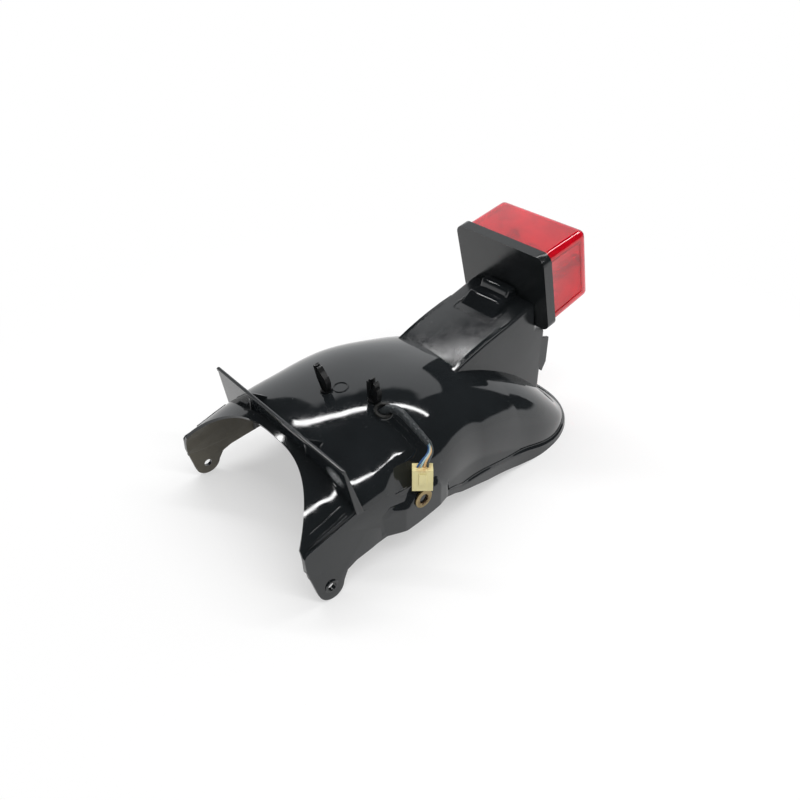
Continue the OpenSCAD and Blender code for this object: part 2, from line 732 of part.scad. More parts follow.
// Round tube swept along points
function unit(v) = v / norm(v);
function along(p, k) = unit(p[min(k + 1, len(p) - 1)] - p[max(k - 1, 0)]);
function ring_of(c, d, r, sides) =
    let(side = unit(cross(d, abs(d[2]) > 0.9 ? [0, 1, 0] : [0, 0, 1])), up = cross(side, d))
    [for (k = [0 : sides - 1]) c + r * (cos(360 * k / sides) * side + sin(360 * k / sides) * up)];
function soft(p, n) = n == 0 ? p : soft(concat([p[0]], [for (k = [0 : len(p) - 2])
    each [0.75 * p[k] + 0.25 * p[k + 1], 0.25 * p[k] + 0.75 * p[k + 1]]], [p[len(p) - 1]]), n - 1);
module tube(p, r, sides) {
    n = len(p);
    polyhedron(points = [for (k = [0 : n - 1]) each ring_of(p[k], along(p, k), r, sides)],
        faces = concat([[for (k = [0 : sides - 1]) k]],
            [[for (k = [sides - 1 : -1 : 0]) (n - 1) * sides + k]],
            [for (j = [0 : n - 2], k = [0 : sides - 1])
                let(a = j * sides + k, b = j * sides + (k + 1) % sides)
                    each [[a, a + sides, b], [b, a + sides, b + sides]]]));
}

function lamp_point(x, y, z) = [x, lamp_y + y * cos(lamp_lean) - z * sin(lamp_lean),
    lamp_top_z + y * sin(lamp_lean) + z * cos(lamp_lean)];
lead_d = 4.9;
function under_roof(x, y, gap) = [x, y, roof_z(x, y) - wall - lead_d / 2 - gap];
lead_points = concat([lamp_point(0, 4, cable_z), lamp_point(0, -6, cable_z)],
    [[0, 262, 112], [4, 240, 98], [12, 214, 91]],
    [for (p = [[20, 196, 5], [27, 176, 3], [34, 150, 2.5], [42, 126, 2.2], [48, 108, 3]])
        under_roof(p[0], p[1], p[2])],
    [[48.2, 96, roof_z(48.2, 96) - 8.2], [48.6, 93.4, roof_z(48.6, 93.4) - 4.6]]);
module lamp_lead() {
    color([0.06, 0.06, 0.06]) tube(soft(lead_points, 1), lead_d / 2, 10);
}

// Sleeve and wires of the harness, laid over the shoulder
sleeve_points = [[49.4, 93.5, 106.4], [50.9, 94.2, 108.3], [53, 95.1, 110.6], [55.4, 96.2, 112.4],
    [58.2, 97.2, 113.5], [61.2, 98.2, 114], [64.3, 99.1, 113.7], [67.2, 99.8, 112.7],
    [69.9, 100.3, 111.1], [72.6, 100.8, 109.4], [75.2, 101.4, 107.7], [77.9, 101.9, 105.9],
    [80.5, 102.4, 104.2], [83.1, 102.9, 102.4], [85.8, 103.4, 100.7], [88.4, 103.9, 98.9],
    [91, 104.4, 97.2], [93.7, 104.9, 95.4]];
connector_mid = [102, 91, 74];
connector_turn = 50.3;
module harness_sleeve() {
    color([0.05, 0.05, 0.05]) tube(sleeve_points, sleeve_d / 2, 12);
}

function wire_x(k) = wire_pitch * (k - 1.5);
function wire_entry(k) = connector_mid
    + [wire_x(k) * cos(connector_turn), wire_x(k) * sin(connector_turn), connector_h / 2];
function wire_points(k) =
    let(a = sleeve_points[len(sleeve_points) - 1], q = k - 1.5, b = wire_entry(k))
    [a + [-0.5 + q * 0.5, 0.2 + q * 0.9, 0.7 + (k % 2) * 1.4 - 0.7],
        a + [2.8 + q * 0.7, -0.6 + q, -2.2], a + [5.6 + q, -3.6 + q * 1.4, -4.4],
        [b[0] - 0.9, b[1] + 3.2, b[2] + 3.4], b + [0, 0, 0.8], b - [0, 0, 3]];
module wire(k) {
    tube(soft(wire_points(k), 1), wire_d / 2, 8);
}
module wire_blue() { color([0.1, 0.25, 0.6]) wire(0); }
module wire_light_blue() { color([0.55, 0.7, 0.8]) wire(1); }
module wire_yellow() { color([0.85, 0.8, 0.3]) wire(2); }
module wire_grey() { color([0.45, 0.5, 0.5]) wire(3); }

module at_connector() {
    translate(connector_mid) rotate([0, 0, connector_turn]) children();
}

// White connector, open below, with a latch rib on its face
module connector_housing() {
    color([0.9, 0.88, 0.68]) at_connector() difference() {
        union() {
            translate([-connector_w / 2, -connector_d / 2, -connector_h / 2])
                cube([connector_w, connector_d, connector_h]);
            translate([-3, -connector_d / 2 - 1, -4]) cube([6, 2, 11]);
            for (s = [-1, 1]) translate([s * 5.5 - 0.8, connector_d / 2 - 1, -connector_h / 2])
                cube([1.6, 1.8, 13]);
        }
        translate([1 - connector_w / 2, 1 - connector_d / 2, -connector_h / 2 - 1])
            cube([connector_w - 2, connector_d - 2, 9.6]);
        for (k = [0 : 3]) translate([wire_x(k), 0, 0])
            cylinder(h = connector_h, d = wire_d + 0.2, center = true);
    }
}

module connector_terminals() {
    color([0.8, 0.7, 0.4]) at_connector() for (k = [0 : 3])
        translate([wire_x(k) - 0.6, -0.4, -9.6]) cube([1.2, 0.8, 11.4]);
}

in_frame() fender_shell();
in_frame() side_collar_right();
in_frame() side_collar_left();
in_frame() crest_clip();
in_frame() side_clip();
in_frame() outlet_grommet();
in_frame() lamp_base();
in_frame() lamp_studs();
in_frame() lamp_stud_washers();
in_frame() lamp_stud_nuts();
in_frame() lens_gasket();
in_frame() tail_lens();
in_frame() plate_window();
in_frame() lens_screws();
in_frame() lens_screw_seals();
in_frame() reflector();
in_frame() bulb_socket();
in_frame() contact_disc();
in_frame() contact_spring();
in_frame() tail_bulb();
in_frame() lamp_grommet();
in_frame() lamp_lead();
in_frame() harness_sleeve();
in_frame() wire_blue();
in_frame() wire_light_blue();
in_frame() wire_yellow();
in_frame() wire_grey();
in_frame() connector_housing();
in_frame() connector_terminals();
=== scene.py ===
"""Studio picture of a small motorcycle's rear inner fender with its tail lamp.

The arch is one fine height grid that follows the same formulas as the solid
model, in millimetres from the front ear bolts. Everything else is either a
bevelled piece built here or a node of the solid model with its own finish.
"""

import logging
import math
from collections.abc import Callable, Iterable, Sequence
from dataclasses import dataclass, field
from enum import Enum

import bmesh  # noqa: E402
import bpy  # noqa: E402
import numpy as np  # noqa: E402
from mathutils import Matrix, Vector  # noqa: E402

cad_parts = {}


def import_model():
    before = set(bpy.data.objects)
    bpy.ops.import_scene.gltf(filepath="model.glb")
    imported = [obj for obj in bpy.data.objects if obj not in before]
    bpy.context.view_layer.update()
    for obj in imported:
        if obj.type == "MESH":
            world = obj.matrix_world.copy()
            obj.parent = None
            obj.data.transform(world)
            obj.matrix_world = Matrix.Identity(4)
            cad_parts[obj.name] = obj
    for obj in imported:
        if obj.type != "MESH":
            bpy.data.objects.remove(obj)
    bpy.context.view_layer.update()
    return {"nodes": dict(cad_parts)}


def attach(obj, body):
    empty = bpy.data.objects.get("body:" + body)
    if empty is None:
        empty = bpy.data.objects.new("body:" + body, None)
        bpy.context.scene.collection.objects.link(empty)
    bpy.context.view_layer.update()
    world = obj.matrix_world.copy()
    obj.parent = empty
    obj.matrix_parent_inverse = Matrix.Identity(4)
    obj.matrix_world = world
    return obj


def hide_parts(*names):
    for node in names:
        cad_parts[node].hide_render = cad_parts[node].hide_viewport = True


LOG = logging.getLogger("fender")
MM = 0.001
MID_Y = 164.559

Point = tuple[float, float, float]
Outline = Sequence[tuple[float, float]]
Lift = Callable[[float, float, float], Vector]

SLEEVE_ROUTE: tuple[Point, ...] = (
    (49.4, 93.5, 106.4), (50.9, 94.2, 108.3), (53, 95.1, 110.6), (55.4, 96.2, 112.4), (58.2, 97.2, 113.5),
    (61.2, 98.2, 114), (64.3, 99.1, 113.7), (67.2, 99.8, 112.7), (69.9, 100.3, 111.1), (72.6, 100.8, 109.4),
    (75.2, 101.4, 107.7), (77.9, 101.9, 105.9), (80.5, 102.4, 104.2), (83.1, 102.9, 102.4), (85.8, 103.4, 100.7),
    (88.4, 103.9, 98.9), (91, 104.4, 97.2), (93.7, 104.9, 95.4))


class Slot(str, Enum):
    """Material slots of the record."""

    BLACK = "black_plastic"
    LAMP = "lamp_plastic"
    CLIP = "clip_plastic"
    PLATED = "plated_steel"
    STEEL = "bright_steel"
    LENS = "red_lens"
    CLEAR = "clear_lens"
    BULB = "bulb_glass"
    REFLECTOR = "reflector"
    BRASS = "brass"
    RUBBER = "rubber"
    SLEEVE = "sleeve"
    BLUE = "wire_blue"
    LIGHT = "wire_light"
    YELLOW = "wire_yellow"
    GREY = "wire_grey"
    IVORY = "ivory_plastic"


@dataclass(frozen=True)
class Finish:
    """Look of one material.

    Attributes:
        colour: Base colour as an sRGB hex string.
        wear_and_painted_light: Colour of its scuffs and dust, and of any painted highlight and painted shade.
        rough: Roughness where it is smooth, and where it is dull.
        metal: Metallic weight.
        grain_mm: Size of the fine grain.
        grain: Strength of the fine grain.
        wave_mm: Size of the soft unevenness.
        wave: Strength of the soft unevenness.
        dirt: Share of the surface that is scuffed.
        coat: Weight of a clear coat.
        through: Transmission weight.
        ior: Index of refraction.
    """

    colour: str
    wear_and_painted_light: str = "8a8c8c"
    rough: tuple[float, float] = (0.25, 0.4)
    metal: float = 0.0
    grain_mm: float = 0.35
    grain: float = 0.03
    wave_mm: float = 18.0
    wave: float = 0.02
    dirt: float = 0.1
    coat: float = 0.0
    through: float = 0.0
    ior: float = 1.5


@dataclass(frozen=True)
class ArchSize:
    """Driving sizes of the arch, in millimetres."""

    radius: float = 250.0
    axle_y: float = 120.0
    top: float = 115.0
    wall: float = 2.6
    half_w: float = 98.0
    tail_half_w: float = 88.5
    depth: float = 66.0
    power: float = 2.6
    tail_end: float = 345.5
    rim_y: float = 18.5
    rim_sweep: float = 37.5
    lip_height: float = 15.0
    lip_end: float = 6.0
    lip_flare: float = 3.5
    lip_reach: float = 7.5
    edge_y: tuple[float, ...] = (-19, -5, 16, 26, 42, 57, 70, 79, 88, 103, 113, 121, 127, 134, 142,
                                 160, 180, 205, 225, 245, 258, 400)
    edge_z: tuple[float, ...] = (31, 28, 21, 23, 25.5, 27.5, 26, 25.3, 26.3, 29, 31, 31.5, 30, 28.5,
                                 25, 20, 14, 8.5, 4, 1, 0, 0)

    @property
    def tip_y(self) -> float:
        """Rear end of the crest."""
        return self.tail_end - self.lip_reach

    @property
    def tail_start(self) -> float:
        """Where the plan starts to close."""
        return self.tip_y - 93.0

    @property
    def crease_half(self) -> float:
        """Half width at the crease over the lip."""
        return self.tail_half_w - self.lip_flare - 0.5


def smooth(t: np.ndarray | float) -> np.ndarray:
    """Smoothstep of t, held between 0 and 1."""
    c = np.clip(t, 0.0, 1.0)
    return c * c * (3 - 2 * c)


def mix(a: float, b: float, t: np.ndarray) -> np.ndarray:
    """Blend from a to b."""
    return a + (b - a) * t


def to_frame(x: float, y: float, z: float) -> Vector:
    """A point in millimetres from the ear bolts, as metres in the frame."""
    return Vector((x * MM, (y - MID_Y) * MM, z * MM))


def linear(colour: str) -> tuple[float, float, float, float]:
    """An sRGB hex colour as linear light with alpha."""
    channels = [int(colour[k:k + 2], 16) / 255 for k in (0, 2, 4)]
    light = [c / 12.92 if c <= 0.04045 else ((c + 0.055) / 1.055) ** 2.4 for c in channels]
    return (light[0], light[1], light[2], 1.0)


class ArchForm:
    """The outer skin of the arch as formulas."""

    def __init__(self, size: ArchSize) -> None:
        """Keeps the sizes and finds the height of the crest's middle."""
        self.size = size
        self.axle_z = size.top - size.radius

    def crest_z(self, y: np.ndarray) -> np.ndarray:
        """Height of the crest line.

        Args:
            y: Distance along.

        Returns:
            The height.
        """
        s = self.size
        y = np.asarray(y, float)
        y0, y1 = s.axle_y - 80, s.axle_y + 188

        def arc(v: np.ndarray) -> np.ndarray:
            """Height of the circle."""
            return self.axle_z + np.sqrt(s.radius**2 - (v - s.axle_y) ** 2)

        def slope(v: float) -> float:
            """Slope of the circle."""
            return -(v - s.axle_y) / math.sqrt(s.radius**2 - (v - s.axle_y) ** 2)

        front = arc(y0) - slope(y0) * (y0 - y) - 0.8 * smooth((y0 - y) / 20)
        length = s.tip_y - y1
        t = np.clip((y - y1) / length, 0, 1)
        rear = (arc(y1) * (2 * t**3 - 3 * t**2 + 1) + slope(y1) * length * (t**3 - 2 * t**2 + t)
                + s.lip_end * (3 * t**2 - 2 * t**3) - 0.35 * length * (t**3 - t**2))
        middle = arc(np.clip(y, y0, y1))
        return np.where(y < y0, front, np.where(y < y1, middle, rear))

    def body(self, y: np.ndarray) -> np.ndarray:
        """Blend from the front rim (0) to the body (1)."""
        return smooth((np.asarray(y, float) - 10) / 70)

    def power(self, y: np.ndarray) -> np.ndarray:
        """Squareness of the section."""
        return mix(3.0, self.size.power, self.body(y))

    def bow(self, y: np.ndarray) -> np.ndarray:
        """Rise of the roof over its flat."""
        return mix(9.0, 4.0, self.body(y))

    def drop(self, y: np.ndarray) -> np.ndarray:
        """Depth of the shoulder."""
        return mix(self.size.depth - 31, self.size.depth, self.body(y))

    def wall_half(self, y: np.ndarray) -> np.ndarray:
        """Half width of the wall."""
        s = self.size
        return (mix(s.half_w - 3, s.half_w, self.body(y))
                - (s.half_w - s.crease_half - 2.7) * smooth((y - 112) / 66) - 2.7 * smooth((y - 178) / 66))

    def edge_half(self, y: np.ndarray) -> np.ndarray:
        """Half width of the lower edge."""
        s = self.size
        return (mix(s.half_w + 0.3, s.half_w, self.body(y))
                - (s.half_w - s.tail_half_w) * smooth((y - 112) / 115))

    def edge_line(self, y: np.ndarray) -> np.ndarray:
        """Height of the lower edge."""
        return np.interp(y, self.size.edge_y, self.size.edge_z)

    def crease_z(self, y: np.ndarray) -> np.ndarray:
        """Height of the crease over the lip."""
        s = self.size
        return (s.lip_end + (s.lip_height - 4) * (1 - smooth((y - 225) / 70))
                + 16 * (1 - smooth((y - 125) / 135)))

    def roof_z(self, x: np.ndarray, y: np.ndarray) -> np.ndarray:
        """Height of the outer skin over a point of its roof.

        Args:
            x: Distance across.
            y: Distance along.

        Returns:
            The height.
        """
        n = self.power(y)
        u = np.clip(np.abs(x) / self.wall_half(y), 0, 1)
        return self.crest_z(y) - self.bow(y) * u * u - self.drop(y) * (1 - (1 - u**n) ** (1 / n))

    def dent(self, y: np.ndarray, z: np.ndarray) -> np.ndarray:
        """Depth of the hollow in the flank."""
        d = np.sqrt(((y - 79) / 19) ** 2 + ((z - 71) / 17) ** 2)
        return 2.6 * smooth((1 - d) / 0.9)

    def skin(self, station: np.ndarray, column: np.ndarray) -> tuple[np.ndarray, ...]:
        """Points of the skin.

        Args:
            station: 0 at the rim to 1 where the body starts, to 2 where the tail starts, to 3 at the tip.
            column: 0 at the crest to 12 at the shoulder, to 14 at the crease, to 16 at the edge.

        Returns:
            Coordinates x, y and z, in millimetres.
        """
        s = self.size
        first = 56.0
        front = station < 1
        tail = station > 2
        turn = np.radians(90) * np.clip(station - 2, 0, 1)
        close, open_ = np.cos(turn), np.sin(turn)
        flat_y = np.where(front, mix(s.rim_y - 10, first, station),
                          mix(first, s.tail_start, np.clip(station - 1, 0, 1)))
        y0 = np.where(tail, s.tail_start + 93 * np.abs(open_) ** (2 / 2.6), flat_y)
        half = np.where(tail, s.crease_half * np.abs(close) ** (2 / 2.6), self.wall_half(flat_y))
        edge_y = np.where(tail, s.tail_start + (s.tail_end - s.tail_start) * np.abs(open_) ** (2 / 2.4), flat_y)
        edge = np.where(tail, s.tail_half_w * np.abs(close) ** (2 / 2.4), self.edge_half(flat_y))
        k = smooth((y0 - 200) / (s.tail_start - 200))
        cols = mix(12.0, 14.0, k)
        t = np.radians(90) * np.minimum(1, column / cols)
        n = self.power(y0)
        u = np.sin(t) ** (2 / n)
        v = 1 - np.abs(np.cos(t)) ** (2 / n)
        lead = s.rim_y - s.rim_sweep * np.minimum(1, u / 0.95) ** 2.9 + 1.5 * smooth((column - 12) / 1.5)
        y = np.where(front, mix(lead, first, station), y0)
        top = self.crest_z(y)
        low = np.maximum(self.crease_z(y), self.edge_line(y) + mix(4, 8, self.body(y)) * (1 - k))
        whole = self.bow(y) + self.drop(y)
        full = np.minimum(whole, top - low - 2.5 * (1 - k))
        bow = self.bow(y) * full / whole
        shoulder = top - full
        roof = top - bow * u * u - (full - bow) * v
        f = np.where(cols < 13.999, np.clip((column - cols) / np.maximum(14 - cols, 1e-3), 0, 1), 0)
        z = np.where(column <= cols, roof, mix(shoulder, low, f))
        wide = half + (1 - k) * 0.5 * np.maximum(0, edge - half) * f
        x = wide * u - np.where(u > 0.5, self.dent(y, z), 0)
        g = np.clip((column - 14) / 2, 0, 1)
        end_y = np.where(front, y, edge_y)
        foot = self.edge_line(end_y)
        out = np.where(g < 0.5, mix(0, 0.72, g * 2), mix(0.72, 1, g * 2 - 1))
        ledge = low - np.minimum(2.6, 0.32 * (low - foot))
        band_z = np.where(g < 0.5, mix(low, ledge, g * 2), mix(ledge, foot, g * 2 - 1))
        band = column > 14
        return (np.where(band, mix(wide, edge, out), x), np.where(band, mix(y, end_y, out), y),
                np.where(band, band_z, z))


class MeshKit:
    """Makes the mesh objects of the scene."""

    def __init__(self) -> None:
        """Works in the scene's own collection."""
        self.collection = bpy.context.scene.collection

    def new(self, name: str, bm: bmesh.types.BMesh, sharp: float | None = 35.0) -> bpy.types.Object:
        """An object at the origin from a bmesh.

        Args:
            name: Name of the object.
            bm: Its geometry, which is freed.
            sharp: Angle in degrees over which an edge shades sharp, or None for flat.

        Returns:
            The object, linked into the scene.
        """
        mesh = bpy.data.meshes.new(name)
        bmesh.ops.recalc_face_normals(bm, faces=bm.faces[:])
        bm.to_mesh(mesh)
        bm.free()
        if sharp is not None:
            mesh.shade_smooth()
            mesh.set_sharp_from_angle(angle=math.radians(sharp))
        obj = bpy.data.objects.new(name, mesh)
        self.collection.objects.link(obj)
        return obj

    def grid(self, name: str, rows: int, cols: int, place: Callable[[int, int], Vector],
             keep: Callable[[Vector], bool] | None = None, outward: Vector | None = None,
             sharp: float = 40.0) -> bpy.types.Object:
        """A grid whose vertices are moved to their places.

        Args:
            name: Name of the object.
            rows: Number of vertices along the first way.
            cols: Number of vertices along the second way.
            place: Gives the point of a row and column.
            keep: Says from a face's middle if it stays.
            outward: Way that the middle face looks.
            sharp: Angle over which an edge shades sharp.

        Returns:
            The object.
        """
        bm = bmesh.new()
        bmesh.ops.create_grid(bm, x_segments=rows - 1, y_segments=cols - 1, size=1.0)
        for vert in bm.verts:
            row = round((vert.co.x + 1) / 2 * (rows - 1))
            col = round((vert.co.y + 1) / 2 * (cols - 1))
            vert.co = place(row, col)
        bmesh.ops.remove_doubles(bm, verts=bm.verts[:], dist=1e-6)
        if keep is not None:
            gone = [face for face in bm.faces if not keep(face.calc_center_median())]
            bmesh.ops.delete(bm, geom=gone, context="FACES")
        bm.normal_update()
        if outward is not None:
            bm.faces.ensure_lookup_table()
            total = sum((face.normal * face.calc_area() for face in bm.faces), Vector())
            if total.dot(outward) < 0:
                bmesh.ops.reverse_faces(bm, faces=bm.faces[:])
        mesh = bpy.data.meshes.new(name)
        bm.to_mesh(mesh)
        bm.free()
        mesh.shade_smooth()
        mesh.set_sharp_from_angle(angle=math.radians(sharp))
        obj = bpy.data.objects.new(name, mesh)
        self.collection.objects.link(obj)
        return obj

    def prism(self, name: str, outline: Outline, lift: Lift, depth: float, round_mm: float = 0.4,
              segments: int = 3) -> bpy.types.Object:
        """A flat outline given a thickness, with rounded edges.

        Args:
            name: Name of the object.
            outline: Corners of the outline, in millimetres.
            lift: Turns (u, v, w) into a point of the frame, w through the thickness.
            depth: Thickness in millimetres.
            round_mm: Radius of its edges.
            segments: Segments of the rounding.

        Returns:
            The object.
        """
        bm = bmesh.new()
        made = bmesh.ops.create_circle(bm, cap_ends=True, radius=1.0, segments=len(outline))
        verts = sorted(made["verts"], key=lambda v: v.index)
        for vert, (u, v) in zip(verts, outline):
            vert.co = Vector((u, v, 0))
        out = bmesh.ops.extrude_face_region(bm, geom=bm.faces[:])
        for item in out["geom"]:
            if isinstance(item, bmesh.types.BMVert):
                item.co.z = depth
        for vert in bm.verts:
            vert.co = lift(vert.co.x, vert.co.y, vert.co.z)
        obj = self.new(name, bm)
        self.bevel(obj, round_mm, segments)
        return obj

    def lathe(self, name: str, profile: Outline, place: Matrix, sides: int = 64,
              sharp: float = 40.0) -> bpy.types.Object:
        """A closed profile of (radius, height) turned about Z and then placed.

        Args:
            name: Name of the object.
            profile: Points of the profile in millimetres.
            place: Matrix from millimetres on the axis to the frame.
            sides: Steps round the axis.
            sharp: Angle over which an edge shades sharp.

        Returns:
            The object.
        """
        loop = list(profile) + [profile[0]]

        def at(row: int, col: int) -> Vector:
            """A point of the turned surface."""
            turn = 2 * math.pi * row / sides
            r, h = loop[col]
            return place @ Vector((r * math.cos(turn), r * math.sin(turn), h))

        obj = self.grid(name, sides + 1, len(loop), at, sharp=sharp)
        bm = bmesh.new()
        bm.from_mesh(obj.data)
        bmesh.ops.recalc_face_normals(bm, faces=bm.faces[:])
        bm.to_mesh(obj.data)
        bm.free()
        return obj

    @staticmethod
    def bevel(obj: bpy.types.Object, width_mm: float, segments: int = 3, angle: float = 30.0) -> None:
        """Rounds the edges of an object.

        Args:
            obj: The object.
            width_mm: Radius.
            segments: Segments of the rounding.
            angle: Angle in degrees over which an edge is rounded.
        """
        mod = obj.modifiers.new("Rounding", "BEVEL")
        mod.width = width_mm * MM
        mod.segments = segments
        mod.limit_method = "ANGLE"
        mod.angle_limit = math.radians(angle)
        mod.harden_normals = False
        mod.use_clamp_overlap = True

    @staticmethod
    def wall(obj: bpy.types.Object, thickness_mm: float) -> bpy.types.SolidifyModifier:
        """Gives a skin a thickness, inwards.

        Args:
            obj: The skin.
            thickness_mm: Its thickness.

        Returns:
            The modifier.
        """
        mod = obj.modifiers.new("Wall", "SOLIDIFY")
        mod.thickness = thickness_mm * MM
        mod.offset = -1
        return mod

    @staticmethod
    def weld(obj: bpy.types.Object) -> None:
        """Joins the doubled vertices of a node of the solid model."""
        mod = obj.modifiers.new("Weld", "WELD")
        mod.merge_threshold = 1e-6

    @staticmethod
    def mirror(obj: bpy.types.Object) -> None:
        """Repeats an object on the other side."""
        mod = obj.modifiers.new("Mirror", "MIRROR")
        mod.use_axis = (True, False, False)
        mod.use_clip = False
        mod.use_mirror_merge = False

    def cut(self, obj: bpy.types.Object, cutter: bpy.types.Object) -> None:
        """Cuts one object out of another for good.

        Args:
            obj: What is cut.
            cutter: What is taken out of it, and is removed.
        """
        mod = obj.modifiers.new("Cut", "BOOLEAN")
        mod.operation = "DIFFERENCE"
        mod.solver = "EXACT"
        mod.object = cutter
        self.bake(obj)
        bpy.data.objects.remove(cutter, do_unlink=True)

    def bake(self, obj: bpy.types.Object) -> None:
        """Applies the modifiers of an object.

        Args:
            obj: The object, whose mesh is replaced.
        """
        graph = bpy.context.evaluated_depsgraph_get()
        mesh = bpy.data.meshes.new_from_object(obj.evaluated_get(graph))
        obj.modifiers.clear()
        old = obj.data
        obj.data = mesh
        bpy.data.meshes.remove(old)
        mesh.shade_smooth()
        mesh.set_sharp_from_angle(angle=math.radians(35))

    def tube(self, name: str, points: Iterable[Vector], radius_mm: float, sides: int = 4,
             taper: tuple[float, float] = (1.0, 1.0)) -> bpy.types.Object:
        """A round cord along points, as a curve of one open spline.

        Args:
            name: Name of the object.
            points: Points of its middle line.
            radius_mm: Radius in millimetres.
            sides: Steps of a quarter of its round section.
            taper: Share of the radius at its two ends.

        Returns:
            The object.
        """
        points = list(points)
        curve = bpy.data.curves.new(name, "CURVE")
        curve.dimensions = "3D"
        curve.bevel_depth = radius_mm * MM
        curve.bevel_resolution = sides
        curve.resolution_u = 8
        curve.use_fill_caps = True
        spline = curve.splines.new("BEZIER")
        spline.bezier_points.add(len(points) - 1)
        for k, (knot, point) in enumerate(zip(spline.bezier_points, points)):
            knot.co = point
            knot.radius = float(mix(taper[0], taper[1], k / (len(points) - 1)))
            knot.handle_left_type = "AUTO"
            knot.handle_right_type = "AUTO"
        obj = bpy.data.objects.new(name, curve)
        self.collection.objects.link(obj)
        return obj


def add(tree: bpy.types.NodeTree, kind: str, inputs: dict | None = None, **props: object) -> bpy.types.Node:
    """Adds a node, sets its properties, and sets or links its inputs.

    Args:
        tree: Where it is added.
        kind: Its type.
        inputs: Value or socket for each input.
        **props: Its properties.

    Returns:
        The node.
    """
    node = tree.nodes.new(kind)
    for key, value in props.items():
        setattr(node, key, value)
    for key, value in (inputs or {}).items():
        if isinstance(value, bpy.types.NodeSocket):
            tree.links.new(value, node.inputs[key])
        else:
            node.inputs[key].default_value = value
    return node


@dataclass(frozen=True)
class WearAndLightPatch:
    """A rubbed place, or a patch of painted highlight or painted shade: its middle and radii in millimetres, and how
    strong it is.
    """

    middle: Point
    radii: Point
    strength: float = 1.0


